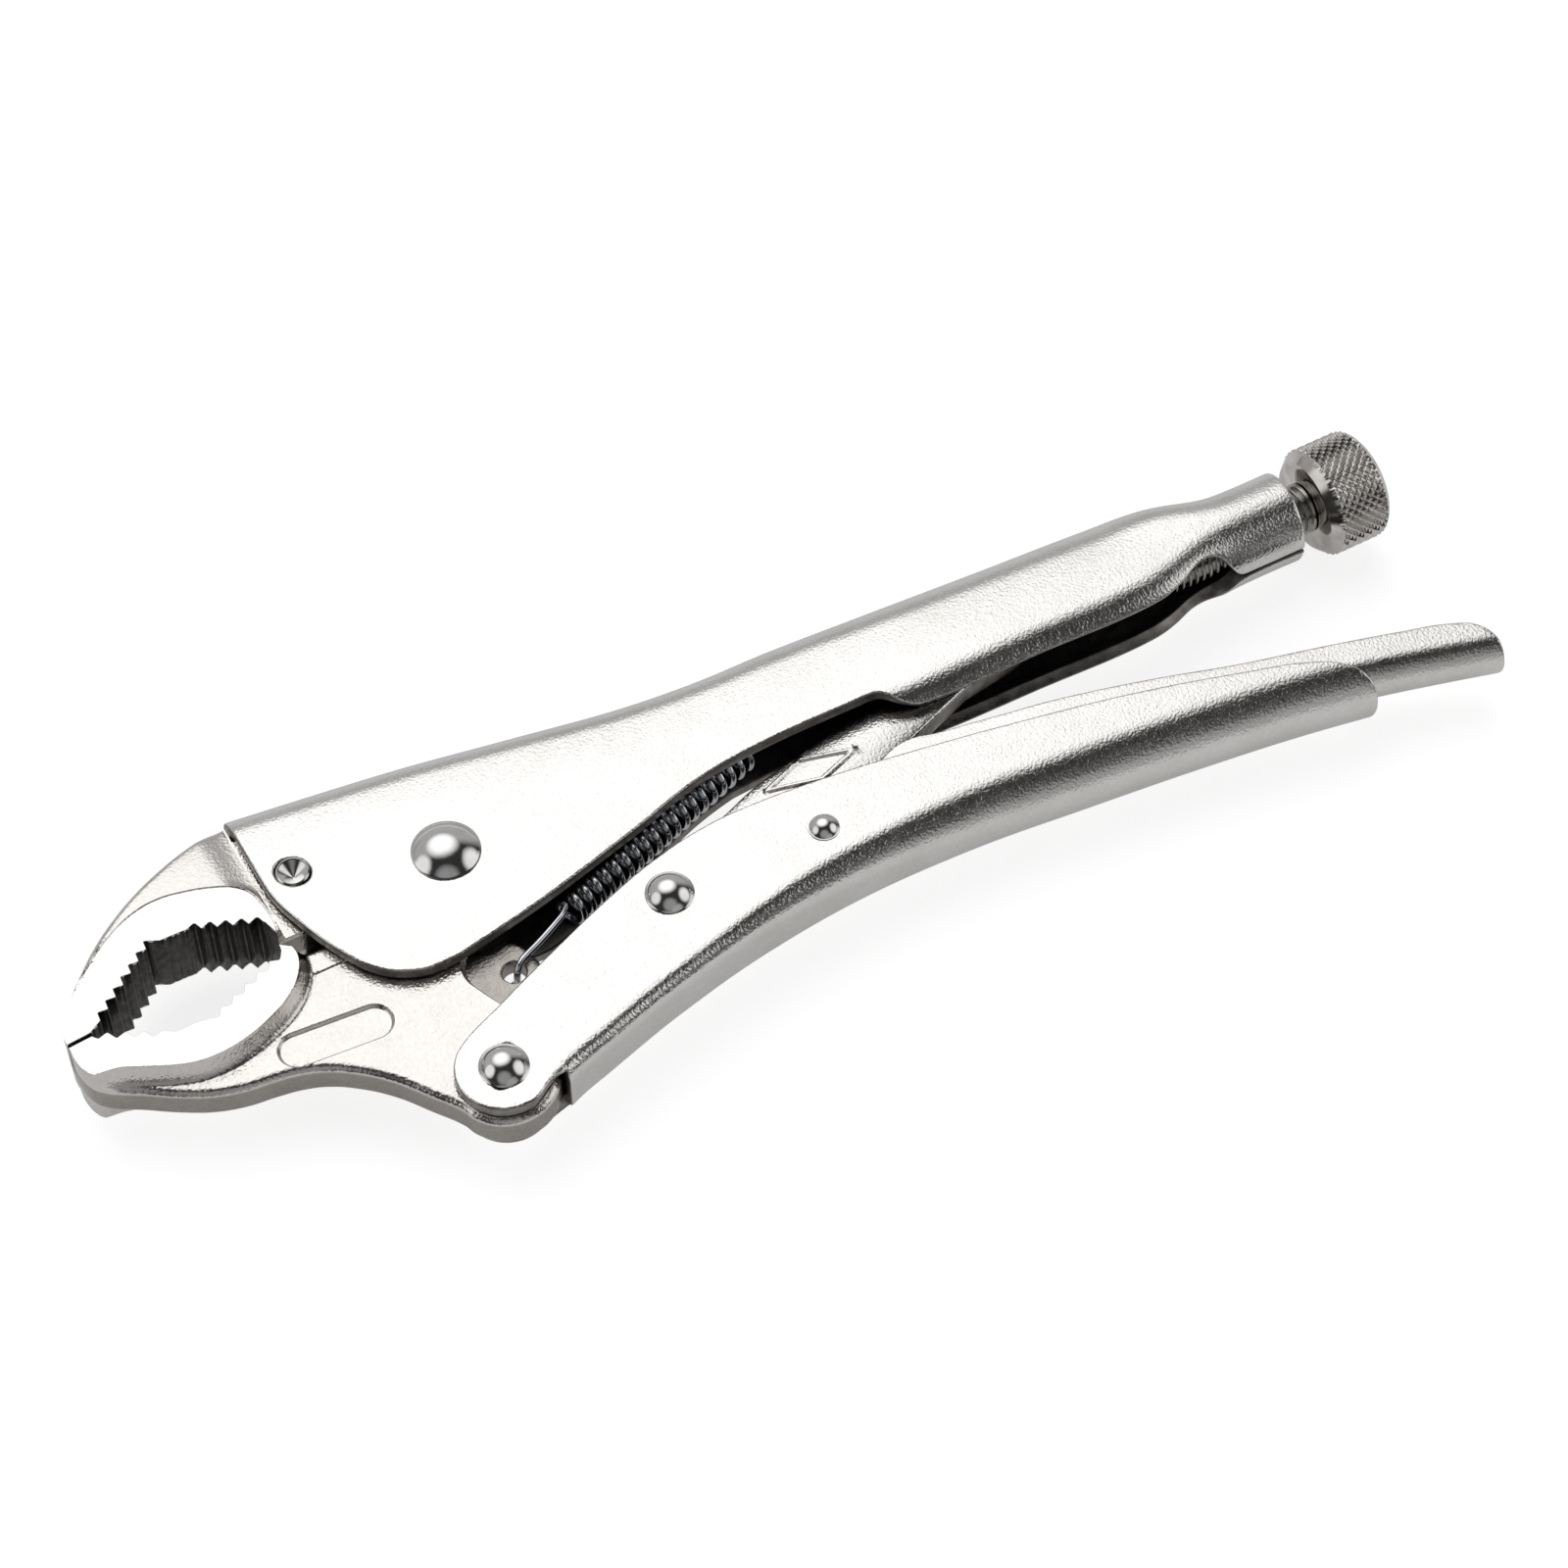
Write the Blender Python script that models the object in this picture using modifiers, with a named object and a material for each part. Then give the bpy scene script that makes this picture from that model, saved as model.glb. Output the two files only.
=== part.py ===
"""Locking pliers with curved jaws, 250 mm class, lying on their side.

Two pressed-steel channels form the handles. The fixed handle carries the upper jaw at its front and is
rolled into a tube at its rear, where the adjusting screw runs. The lower jaw turns on the jaw pivot, the
moving handle turns on the lower jaw, and the toggle link runs from the moving handle up to the screw's
tip. A release lever lies in the moving handle, and a tension spring pulls the lower jaw open.

All shapes are drawn in millimetres in the tool frame and scaled to metres as they are made: X runs along
the adjusting screw towards the knob, Y points to the fixed handle's back, Z is across the plates, and
zero is the middle of the jaw pivot. The empty "pliers_frame" then sets the tool down on its side.
"""

import math

import bmesh
import bpy
from mathutils import Vector

MM = 0.001

# Pivots and axes, in the tool frame
JAW_PIVOT = (0.0, 0.0)
HANDLE_PIVOT = (-10.5, -43.0)
TOGGLE_PIVOT = (29.3, -26.2)
RELEASE_PIVOT = (58.5, -27.6)
STAKE_PIN = (-24.7, 8.8)
SCREW_Y = -4.0
LINK_TIP = (107.5, -5.0)
SPRING_HOLE = (0.2, -25.0)
SPRING_TAB_X = 67.0
SPRING_TAB_Y = 4.2

# Rivets, pin and the small holes; every rivet runs in a hole this much wider all round
RIVET_GAP = 0.2
JAW_PIVOT_RADIUS = 4.0
RIVET_RADIUS = 3.0
SMALL_RIVET_RADIUS = 2.0
STAKE_RADIUS = 2.8
PUNCH_DEPTH = 1.9
SPRING_HOLE_RADIUS = 1.8
TAB_HOLE_RADIUS = 1.3

# Sheet and bar thicknesses
SHEET = 2.4
LEVER_SHEET = 1.1
PLATE_HALF_WIDTH = 6.2
RUNNING_GAP = 0.3
WEB_HALF = PLATE_HALF_WIDTH - SHEET - RUNNING_GAP
LINK_HALF = 2.9
LEVER_HALF = LINK_HALF + RUNNING_GAP + LEVER_SHEET
PAD_HALF = 7.0
JAW_BODY_HALF = 5.6
SPRING_SEAT_HALF = 2.0

# Adjusting screw and knob
THREAD_RADIUS = 4.8
BORE_RADIUS = THREAD_RADIUS + RUNNING_GAP
SCREW_TIP_X = LINK_TIP[0] + 4.0 + 4.0
TUBE_END_X = 171.0
KNOB_FRONT_X = 172.8
KNOB_END_X = 185.8
KNOB_RADIUS = 10.5
SPIGOT_RADIUS = 3.0
SPIGOT_LENGTH = 8.0

# Tension spring
SPRING_FRONT = (13.6, -17.7)
SPRING_REAR = (56.0, -2.9)
SPRING_RADIUS = 2.6
SPRING_WIRE = 0.6
SPRING_TURNS = 19

# Cutters reach this far to each side of the middle plane
CUTTER_HALF = 20.0

# Turned pieces are drawn upright and laid along X
ALONG_X = (0, math.pi / 2, 0)

# Pieces of one shape share these counts
SECTION_STEPS = 22
ROUND_SIDES = 32
CURVE_STEPS = 3

CORNER = "VECTOR"
ROUND = "AUTO"


# ---------------------------------------------------------------- scene and materials


def clear_scene():
    for obj in list(bpy.data.objects):
        bpy.data.objects.remove(obj)


def new_collection(name):
    collection = bpy.data.collections.new(name)
    bpy.context.scene.collection.children.link(collection)
    return collection


def metal(name, colour, roughness):
    made = bpy.data.materials.new(name)
    made.use_nodes = True
    shader = made.node_tree.nodes["Principled BSDF"]
    shader.inputs["Base Color"].default_value = (*colour, 1.0)
    shader.inputs["Metallic"].default_value = 1.0
    shader.inputs["Roughness"].default_value = roughness
    return made


clear_scene()
PARTS = new_collection("locking_pliers")
CUTTERS = new_collection("cutters")
SATIN_NICKEL = metal("satin_nickel", (0.80, 0.78, 0.75), 0.32)
GROUND_STEEL = metal("ground_jaw_steel", (0.86, 0.85, 0.83), 0.22)
POLISHED_STEEL = metal("polished_rivet_steel", (0.74, 0.72, 0.70), 0.08)
KNURLED_STEEL = metal("knurled_steel", (0.55, 0.52, 0.49), 0.28)
SPRING_STEEL = metal("spring_steel", (0.12, 0.13, 0.15), 0.25)

FRAME = bpy.data.objects.new("pliers_frame", None)
PARTS.objects.link(FRAME)


# ---------------------------------------------------------------- lines and sections


def smooth_line(points):
    """A smooth function y(x) through a few points, level with their chords."""
    xs = [p[0] for p in points]
    ys = [p[1] for p in points]
    slopes = []
    for i in range(len(points)):
        a, b = max(i - 1, 0), min(i + 1, len(points) - 1)
        slopes.append((ys[b] - ys[a]) / (xs[b] - xs[a]))

    def value(x):
        x = min(max(x, xs[0]), xs[-1])
        i = max(k for k in range(len(xs) - 1) if xs[k] <= x)
        span = xs[i + 1] - xs[i]
        t = (x - xs[i]) / span
        rise = (2 * t**3 - 3 * t**2 + 1) * ys[i] + (3 * t**2 - 2 * t**3) * ys[i + 1]
        lean = (t**3 - 2 * t**2 + t) * slopes[i] + (t**3 - t**2) * slopes[i + 1]
        return rise + lean * span

    return value


def ramp(x, low, high):
    """0 before low, 1 after high, and a smooth step between."""
    t = min(max((x - low) / (high - low), 0.0), 1.0)
    return t * t * (3 - 2 * t)


def spaced(path, count):
    """count points evenly spaced along a path of close points."""
    lengths = [0.0]
    for a, b in zip(path, path[1:]):
        lengths.append(lengths[-1] + math.dist(a, b))
    found = []
    k = 0
    for i in range(count):
        target = lengths[-1] * i / (count - 1)
        while k < len(path) - 2 and lengths[k + 1] < target:
            k += 1
        step = lengths[k + 1] - lengths[k]
        t = (target - lengths[k]) / step if step else 0.0
        found.append(tuple(a + (b - a) * t for a, b in zip(path[k], path[k + 1])))
    return found


def channel_side(half, corner, back, side_end, curl):
    """One side of a channel's section, from its lip to the middle of its back, as (y, z) points.

    back is the y of the channel's back and side_end the y where the flat side ends. The side then curls
    inwards by the angle curl on a radius of the half width.
    """
    way = 1.0 if back > side_end else -1.0
    corner = min(corner, half)
    path = []
    for i in range(9):
        angle = curl * (1 - i / 8)
        path.append((side_end - way * half * math.sin(angle), half * math.cos(angle)))
    for i in range(13):
        angle = math.pi / 2 * i / 12
        y = back - way * corner * (1 - math.sin(angle))
        path.append((y, half - corner + corner * math.cos(angle)))
    path.append((back, 0.0))
    return spaced(path, SECTION_STEPS // 2 + 1)


def channel_ring(half, corner, back, side_end, curl, wall, far_drop=0.0):
    """The closed section of a channel of that wall thickness; its far side reaches far_drop further."""
    way = 1.0 if back > side_end else -1.0
    far_end = side_end - way * far_drop
    ring = []
    for cut, backwards in ((0.0, False), (wall, True)):
        size = (half - cut, max(corner - cut, 0.8), back - way * cut)
        near = channel_side(*size, side_end, curl)
        far = channel_side(*size, far_end, curl)
        whole = near + [(y, -z) for y, z in reversed(far[:-1])]
        ring += whole[::-1] if backwards else whole
    return ring


# ---------------------------------------------------------------- making solids


def add_part(name, mesh, origin, material, collection=PARTS):
    """A mesh drawn in the tool frame becomes an object whose own origin is at that point."""
    obj = bpy.data.objects.new(name, mesh)
    shift = Vector((origin[0], origin[1], origin[2] if len(origin) > 2 else 0.0)) * MM
    for vertex in mesh.vertices:
        vertex.co -= shift
    obj.location = shift
    obj.parent = FRAME
    if material:
        mesh.materials.append(material)
    collection.objects.link(obj)
    return obj


def add_cutter(mesh, name="cutter"):
    obj = add_part(name, mesh, (0, 0), None, CUTTERS)
    obj.hide_render = True
    obj.display_type = "WIRE"
    return obj


def loft(name, stations, ring_at):
    """A closed mesh through the sections ring_at(x) at each station x."""
    work = bmesh.new()
    rings = []
    for x in stations:
        rings.append([work.verts.new((x * MM, y * MM, z * MM)) for y, z in ring_at(x)])
    for ring, after in zip(rings, rings[1:]):
        count = len(ring)
        for i in range(count):
            j = (i + 1) % count
            work.faces.new((ring[i], ring[j], after[j], after[i]))
    work.faces.new(rings[0])
    work.faces.new(rings[-1])
    bmesh.ops.recalc_face_normals(work, faces=work.faces)
    bmesh.ops.triangulate(work, faces=work.faces)
    mesh = bpy.data.meshes.new(name)
    work.to_mesh(mesh)
    work.free()
    return mesh


def outline_mesh(name, outline, half, middle=0.0):
    """A flat plate of a closed outline of (x, y) or (x, y, CORNER) points, 2 * half thick."""
    curve = bpy.data.curves.new(name, "CURVE")
    curve.dimensions = "2D"
    curve.fill_mode = "BOTH"
    curve.extrude = half * MM
    curve.resolution_u = CURVE_STEPS
    spline = curve.splines.new("BEZIER")
    spline.bezier_points.add(len(outline) - 1)
    spline.use_cyclic_u = True
    for point, place in zip(spline.bezier_points, outline):
        kind = place[2] if len(place) > 2 else ROUND
        point.co = (place[0] * MM, place[1] * MM, 0.0)
        point.handle_left_type = kind
        point.handle_right_type = kind
    holder = bpy.data.objects.new(name, curve)
    CUTTERS.objects.link(holder)
    graph = bpy.context.evaluated_depsgraph_get()
    mesh = bpy.data.meshes.new_from_object(holder.evaluated_get(graph))
    bpy.data.objects.remove(holder)
    work = bmesh.new()
    work.from_mesh(mesh)
    bmesh.ops.remove_doubles(work, verts=work.verts, dist=0.00001)
    caps = {face for face in work.faces if abs(face.normal.z) > 0.9}
    inner = [edge for edge in work.edges if all(face in caps for face in edge.link_faces)]
    bmesh.ops.dissolve_edges(work, edges=inner, use_verts=False)
    bmesh.ops.translate(work, vec=(0, 0, middle * MM), verts=work.verts)
    bmesh.ops.recalc_face_normals(work, faces=work.faces)
    work.to_mesh(mesh)
    work.free()
    return mesh


def box_mesh(low, high):
    work = bmesh.new()
    bmesh.ops.create_cube(work, size=1.0)
    for vertex in work.verts:
        for k in range(3):
            vertex.co[k] = (low[k] if vertex.co[k] < 0 else high[k]) * MM
    mesh = bpy.data.meshes.new("box")
    work.to_mesh(mesh)
    work.free()
    return mesh


def rod_mesh(radius, low, high, place, axis="Z", sides=ROUND_SIDES):
    """A round bar from low to high along Z at (x, y), or along X at (y, z)."""
    work = bmesh.new()
    size = radius * MM
    depth = (high - low) * MM
    bmesh.ops.create_cone(work, cap_ends=True, segments=sides, radius1=size, radius2=size, depth=depth)
    middle = (low + high) / 2 * MM
    for vertex in work.verts:
        x, y, z = vertex.co
        if axis == "Z":
            vertex.co = (x + place[0] * MM, y + place[1] * MM, z + middle)
        else:
            vertex.co = (z + middle, x + place[0] * MM, y + place[1] * MM)
    bmesh.ops.recalc_face_normals(work, faces=work.faces)
    mesh = bpy.data.meshes.new("rod")
    work.to_mesh(mesh)
    work.free()
    return mesh


def turned_part(name, profile, origin, turn, material, sides=ROUND_SIDES):
    """A turned piece: a profile of (radius, height) points from top to bottom, on a Screw modifier."""
    mesh = bpy.data.meshes.new(name)
    points = [(radius * MM, 0.0, height * MM) for radius, height in profile]
    edges = [(i, i + 1) for i in range(len(points) - 1)]
    mesh.from_pydata(points, edges, [])
    obj = bpy.data.objects.new(name, mesh)
    mesh.materials.append(material)
    obj.parent = FRAME
    obj.location = Vector(origin) * MM
    obj.rotation_euler = turn
    PARTS.objects.link(obj)
    screw = obj.modifiers.new("turned", "SCREW")
    screw.steps = sides
    screw.render_steps = sides
    screw.use_merge_vertices = True
    screw.merge_threshold = 0.00001
    screw.use_smooth_shade = True
    return obj


def combine(obj, other_mesh, operation):
    """Cuts other_mesh from obj, joins it on, or keeps only what both hold."""
    modifier = obj.modifiers.new(operation.lower(), "BOOLEAN")
    modifier.operation = operation
    modifier.solver = "EXACT"
    modifier.object = add_cutter(other_mesh, f"{obj.name}_{operation.lower()}")
    return obj


def hole(obj, place, radius):
    return combine(obj, rod_mesh(radius, -CUTTER_HALF, CUTTER_HALF, place), "DIFFERENCE")


def arc(centre, radius, start, end, steps):
    """Outline points on an arc, the angles in degrees."""
    points = []
    for i in range(steps + 1):
        angle = math.radians(start + (end - start) * i / steps)
        points.append((centre[0] + radius * math.cos(angle), centre[1] + radius * math.sin(angle)))
    return points


def teeth(start, end, count, depth):
    """Serrations along a line: notches of that depth on its left, as corner points."""
    dx, dy = (end[0] - start[0]) / count, (end[1] - start[1]) / count
    pitch = math.hypot(dx, dy)
    points = [(*start, CORNER)]
    for i in range(count):
        x, y = start[0] + dx * i, start[1] + dy * i
        points.append((x + dx / 2 - dy / pitch * depth, y + dy / 2 + dx / pitch * depth, CORNER))
        points.append((x + dx, y + dy, CORNER))
    return points


# ---------------------------------------------------------------- fixed handle

FIXED_BACK = smooth_line(
    [(-31, 27.1), (0, 22.5), (20, 18.9), (40, 15.3), (55, 13.8), (70, 13.4), (90, 12.1), (110, 10.8),
     (135, 9.5), (144, 8.4), (154, 5.2), (159, 4.6), (169, 4.5)]
)
FIXED_SIDE_END = smooth_line(
    [(-31, -22.0), (-15, -21.6), (-7, -20.0), (10, -16.8), (30, -11.8), (45, -7.7), (60, -6.4), (78, -6.8),
     (90, -7.1), (110, -7.3), (135, -7.6), (152, -4.2), (169, -4.0)]
)
FIXED_HALF = smooth_line(
    [(-31, 6.2), (40, 6.2), (70, 6.7), (95, 7.7), (135, 8.0), (155, 8.45), (169, 8.5)]
)
FAR_DROP = smooth_line([(-10, 0), (0, 1.2), (9, 3.6), (18, 3.0), (30, 2.2), (40, 1.3), (52, 0)])

# The front edges of the plates, from the back down to the lowest point, and a wide way round outside them
FRONT_TRIM = [
    (-30.2, 40, CORNER), (-30.2, 12, CORNER), (-29.9, 6), (-28.3, 0), (-24.2, -10), (-20.5, -15.6),
    (-16.5, -18.6), (-11.5, -20.1),
    (-7.0, -20.0, CORNER), (-7.0, -34, CORNER), (-45, -34, CORNER), (-45, 40, CORNER),
]
# The tube's end is cut a little slanted
REAR_TRIM = [(169.4, 12, CORNER), (167.4, -16, CORNER), (180, -16, CORNER), (180, 12, CORNER)]


def fixed_curl(x):
    """How far the lips curl in: flat plates in front, an open tube behind, a notch, then a closed tube."""
    open_tube = math.radians(45) * ramp(x, 80, 87)
    notch = math.radians(7) * ramp(x, 136, 144) * (1 - ramp(x, 147, 153))
    closed = math.radians(41) * ramp(x, 149, 154)
    return open_tube - notch + closed


def fixed_ring(x):
    half = FIXED_HALF(x)
    wall = SHEET + (FIXED_HALF(169) - BORE_RADIUS - SHEET) * ramp(x, 146, 156)
    return channel_ring(half, half, FIXED_BACK(x), FIXED_SIDE_END(x), fixed_curl(x), wall, FAR_DROP(x))


def make_fixed_handle():
    stations = [-30.8, -20, -7, 5, 15, 25, 35, 45, 52, 60, 70, 78, 80, 81.5, 83, 84.5, 86, 88, 92, 100, 110,
                120, 130, 136, 138, 140, 142, 144, 146, 148, 149.5, 151, 152.5, 154, 156, 159, 163]
    stations.append(TUBE_END_X)
    obj = add_part("fixed_handle", loft("fixed_handle", stations, fixed_ring), (0, 0), SATIN_NICKEL)
    combine(obj, outline_mesh("front_trim", FRONT_TRIM, CUTTER_HALF), "DIFFERENCE")
    combine(obj, outline_mesh("rear_trim", REAR_TRIM, CUTTER_HALF), "DIFFERENCE")
    tab_top = FIXED_BACK(SPRING_TAB_X) - SHEET / 2
    tab_low, tab_half = 2.0, 2.2
    tab = box_mesh((SPRING_TAB_X - 1, tab_low, -tab_half), (SPRING_TAB_X + 1, tab_top, tab_half))
    combine(obj, tab, "UNION")
    tab_hole = rod_mesh(TAB_HOLE_RADIUS, SPRING_TAB_X - 3, SPRING_TAB_X + 3, (SPRING_TAB_Y, 0), "X", 16)
    combine(obj, tab_hole, "DIFFERENCE")
    hole(obj, JAW_PIVOT, JAW_PIVOT_RADIUS + RIVET_GAP)
    hole(obj, STAKE_PIN, STAKE_RADIUS + RUNNING_GAP)
    return obj


# ---------------------------------------------------------------- upper jaw

UPPER_TEETH = (
    [(-71.8, -5.0, CORNER), (-67.6, -4.7, CORNER)]
    + teeth((-66.9, -3.2), (-52.6, 7.6), 7, -1.1)[1:]
    + [(-50.2, 6.4, CORNER), (-46.4, 6.3, CORNER)]
    + teeth((-45.4, 6.2), (-33.2, 1.2), 5, 1.1)
    + [(-32.3, -1.7, CORNER)]
)
UPPER_PAD = UPPER_TEETH + [
    (-32.0, 1.5), (-32.4, 5.0), (-33.2, 8.0), (-35.2, 10.2), (-38.5, 11.9), (-42.5, 13.2), (-47, 14.0),
    (-52, 13.4), (-58, 10.7), (-64, 6.3), (-68.2, 2.7), (-70.7, 0.2), (-71.7, -2.6),
]
UPPER_BODY = [
    (-67.6, 2.6, CORNER), (-65, 6.6), (-60, 11.3), (-55, 14.9), (-50, 17.8), (-45, 20.1), (-40, 22.0),
    (-35, 23.4), (-30.8, 24.2, CORNER), (-30.8, 5.0, CORNER), (-34, 4.6, CORNER), (-38, 8.5), (-48, 10.5),
    (-58, 8.0),
]
UPPER_TANG = (
    [(-37, 20.0, CORNER), (-30, 20.6, CORNER), (-16, 18.2, CORNER), (1.5, 15.6, CORNER)]
    + [(x, y, CORNER) for x, y in arc(JAW_PIVOT, 11.9, 84, 182, 14)]
    + [(-28, -1.2, CORNER), (-33.5, -1.2, CORNER), (-37, 6, CORNER)]
)


def make_upper_jaw():
    obj = add_part("upper_jaw", outline_mesh("upper_jaw", UPPER_PAD, PAD_HALF), (0, 0), GROUND_STEEL)
    combine(obj, outline_mesh("body", UPPER_BODY, JAW_BODY_HALF), "UNION")
    combine(obj, outline_mesh("tang", UPPER_TANG, WEB_HALF), "UNION")
    hole(obj, STAKE_PIN, STAKE_RADIUS + RUNNING_GAP)
    return obj


# ---------------------------------------------------------------- lower jaw

LOWER_TEETH = (
    [(-33.0, -3.9, CORNER)]
    + teeth((-33.2, -5.2), (-49.4, -11.6), 6, 1.0)
    + [(-51, -11.2, CORNER), (-55, -11.2, CORNER)]
    + teeth((-56.0, -11.6), (-66.9, -6.2), 4, -1.0)[1:]
    + [(-67.6, -5.35, CORNER), (-71.8, -5.6, CORNER)]
)
LOWER_PAD = LOWER_TEETH + [
    (-71.9, -8.0), (-71.0, -11.4), (-70.2, -12.4, CORNER), (-66, -13.1), (-62, -15.0), (-58, -16.9),
    (-54.5, -18.1), (-50, -18.5), (-45, -17.8), (-40, -16.1), (-36, -14.0), (-33, -11.2), (-31.3, -8.0),
    (-31.2, -5.8), (-31.9, -4.3),
]
LOWER_WEB = (
    [(-70.2, -12.6, CORNER), (-64, -17.3), (-59, -20.6), (-54, -23.2), (-49, -24.7), (-44, -25.4),
     (-40, -26.2), (-36, -27.7), (-31.5, -30.7), (-27, -35.0), (-23, -40.4)]
    + arc(HANDLE_PIVOT, 8.8, 195, 345, 10)
    + [(1.5, -38), (4.2, -32), (5.1, -26), (4.8, -23), (4.2, -20.6), (2.9, -18.8), (1.0, -18.2),
       (-1.6, -18.6), (-2.6, -15.5), (0.5, -12.8), (4.2, -11.6)]
    + arc(JAW_PIVOT, 11.0, -55, 172, 14)
    + [(-11.2, 0.5, CORNER), (-14.5, -3.6), (-20, -4.9), (-31, -5.4, CORNER), (-36, -9.5), (-44, -13.2),
       (-52, -14.2), (-60, -12.5), (-66, -9.6), (-70.2, -9.5, CORNER)]
)
SPRING_SEAT = [
    (-3.6, -16, CORNER), (-6.6, -19.4), (-7.6, -22.6), (-6.4, -26.5), (-4.3, -31, CORNER), (10, -31, CORNER),
    (10, -16, CORNER),
]


def make_lower_jaw():
    obj = add_part("lower_jaw", outline_mesh("lower_jaw", LOWER_PAD, PAD_HALF), JAW_PIVOT, GROUND_STEEL)
    combine(obj, outline_mesh("web", LOWER_WEB, WEB_HALF), "UNION")
    cut_half = 5.0
    for side in (1, -1):
        middle = side * (SPRING_SEAT_HALF + cut_half)
        combine(obj, outline_mesh("spring_seat", SPRING_SEAT, cut_half, middle), "DIFFERENCE")
    hole(obj, JAW_PIVOT, JAW_PIVOT_RADIUS + RIVET_GAP)
    hole(obj, HANDLE_PIVOT, RIVET_RADIUS + RIVET_GAP)
    spring_hole = rod_mesh(SPRING_HOLE_RADIUS, -CUTTER_HALF, CUTTER_HALF, SPRING_HOLE, sides=16)
    combine(obj, spring_hole, "DIFFERENCE")
    return obj


# ---------------------------------------------------------------- moving handle

MOVING_BACK = smooth_line(
    [(-22, -62.0), (-8, -53.5), (-1.5, -49.6), (7.5, -46.8), (22.5, -42.7), (42.5, -38.9), (62.5, -37.6),
     (83, -38.6), (103.5, -40.9), (124, -43.2), (144, -45.9), (161, -48.9)]
)
MOVING_HALF = smooth_line([(-22, 6.2), (30, 6.3), (48, 7.0), (100, 7.6), (161, 7.7)])
MOVING_CORNER = smooth_line([(-22, 3.0), (30, 3.2), (60, 5.2), (95, 7.4), (161, 7.7)])

# The side view that the pressed channel is trimmed to: ears round the pivot, upper edge, rounded rear end
MOVING_OUTLINE = (
    arc(HANDLE_PIVOT, 8.3, 285, 128, 10)
    + [(-5, -31.6), (10, -25.5), (20, -21.8), (30, -18.8), (40, -17.2), (50, -17.2), (65, -18.7), (80, -21.1),
       (100, -24.9), (120, -29.3), (140, -35.0), (150, -38.3), (155.6, -41.6), (158.6, -45.4),
       (159.4, -49.5), (159.4, -60, CORNER), (-1.8, -60, CORNER), (-1.8, -48.6, CORNER), (-4.8, -49.1)]
)


def moving_ring(x):
    half = MOVING_HALF(x)
    return channel_ring(half, MOVING_CORNER(x), MOVING_BACK(x), -14.0, 0.0, SHEET)


def make_moving_handle():
    stations = [-21, -12, -6, -3, 0, 4, 8, 14, 20, 28, 36, 44, 52, 60, 68, 76, 84, 92, 100, 110, 120, 130,
                140, 150, 161]
    mesh = loft("moving_handle", stations, moving_ring)
    obj = add_part("moving_handle", mesh, HANDLE_PIVOT, SATIN_NICKEL)
    combine(obj, outline_mesh("side_trim", MOVING_OUTLINE, CUTTER_HALF), "INTERSECT")
    inside = PLATE_HALF_WIDTH - SHEET
    combine(obj, box_mesh((-30, -70, -inside), (-1.8, -30, inside)), "DIFFERENCE")
    hole(obj, HANDLE_PIVOT, RIVET_RADIUS + RIVET_GAP)
    hole(obj, TOGGLE_PIVOT, RIVET_RADIUS + RIVET_GAP)
    hole(obj, RELEASE_PIVOT, SMALL_RIVET_RADIUS + RIVET_GAP)
    return obj


# ---------------------------------------------------------------- toggle link

LINK_OUTLINE = (
    arc(TOGGLE_PIVOT, 6.6, 275, 105, 10)
    + [(34, -18.5), (41, -15.9), (47, -13.8), (53, -11.6), (60, -9.9), (70, -7.8), (85, -4.6), (97, -2.3)]
    + arc(LINK_TIP, 4.0, 80, -85, 7)
    + [(97, -10.7, CORNER), (81, -16.5, CORNER), (71, -20.0), (61, -22.2), (51, -24.6), (41, -29.4)]
)


def make_toggle_link():
    mesh = outline_mesh("toggle_link", LINK_OUTLINE, LINK_HALF)
    obj = add_part("toggle_link", mesh, TOGGLE_PIVOT, SATIN_NICKEL)
    hole(obj, TOGGLE_PIVOT, RIVET_RADIUS + RIVET_GAP)
    return obj


# ---------------------------------------------------------------- release lever

LEVER_BACK = smooth_line(
    [(50, -34.0), (70, -34.2), (88, -35.2), (104, -37.4), (124, -39.6), (144, -42.2), (154, -44.1),
     (164, -46.5), (174, -49.2), (186, -52.6)]
)
LEVER_HALF_WIDTH = smooth_line([(50, LEVER_HALF), (72, LEVER_HALF), (92, 4.6), (110, 4.9), (186, 4.9)])
LEVER_OUTLINE = (
    arc(RELEASE_PIVOT, 5.6, 265, 95, 8)
    + [(66, -21.6), (71, -20.0), (75.3, -18.2), (79, -16.9), (82.4, -16.9), (86.4, -18.0), (92.8, -19.2),
       (100, -20.6), (107, -21.9), (125, -26.5), (140, -31.1), (155, -35.0),
       (170, -39.2), (178, -41.7), (182.6, -44.4), (184.2, -48.4), (184.0, -52.0), (182.5, -58, CORNER),
       (86.5, -58, CORNER), (86.5, -33.6, CORNER), (70, -33.0)]
)
PUSHER_X = 87.0


def lever_ring(x):
    half = LEVER_HALF_WIDTH(x)
    return channel_ring(half, half, LEVER_BACK(x), -12.0, 0.0, LEVER_SHEET)


def make_release_lever():
    stations = [51, 60, 70, 80, 88, 96, 104, 114, 124, 134, 144, 154, 164, 174, 180, 186]
    mesh = loft("release_lever", stations, lever_ring)
    obj = add_part("release_lever", mesh, RELEASE_PIVOT, SATIN_NICKEL)
    combine(obj, outline_mesh("side_trim", LEVER_OUTLINE, CUTTER_HALF), "INTERSECT")
    inside = LEVER_HALF - LEVER_SHEET
    combine(obj, box_mesh((40, -60, -inside), (86.5, -10, inside)), "DIFFERENCE")
    pusher = box_mesh((PUSHER_X, -34.6, -3.0), (PUSHER_X + LEVER_SHEET, -18.6, 3.0))
    combine(obj, pusher, "UNION")
    hole(obj, RELEASE_PIVOT, SMALL_RIVET_RADIUS + RIVET_GAP)
    return obj


# ---------------------------------------------------------------- rivets, pin, screw, knob


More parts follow.
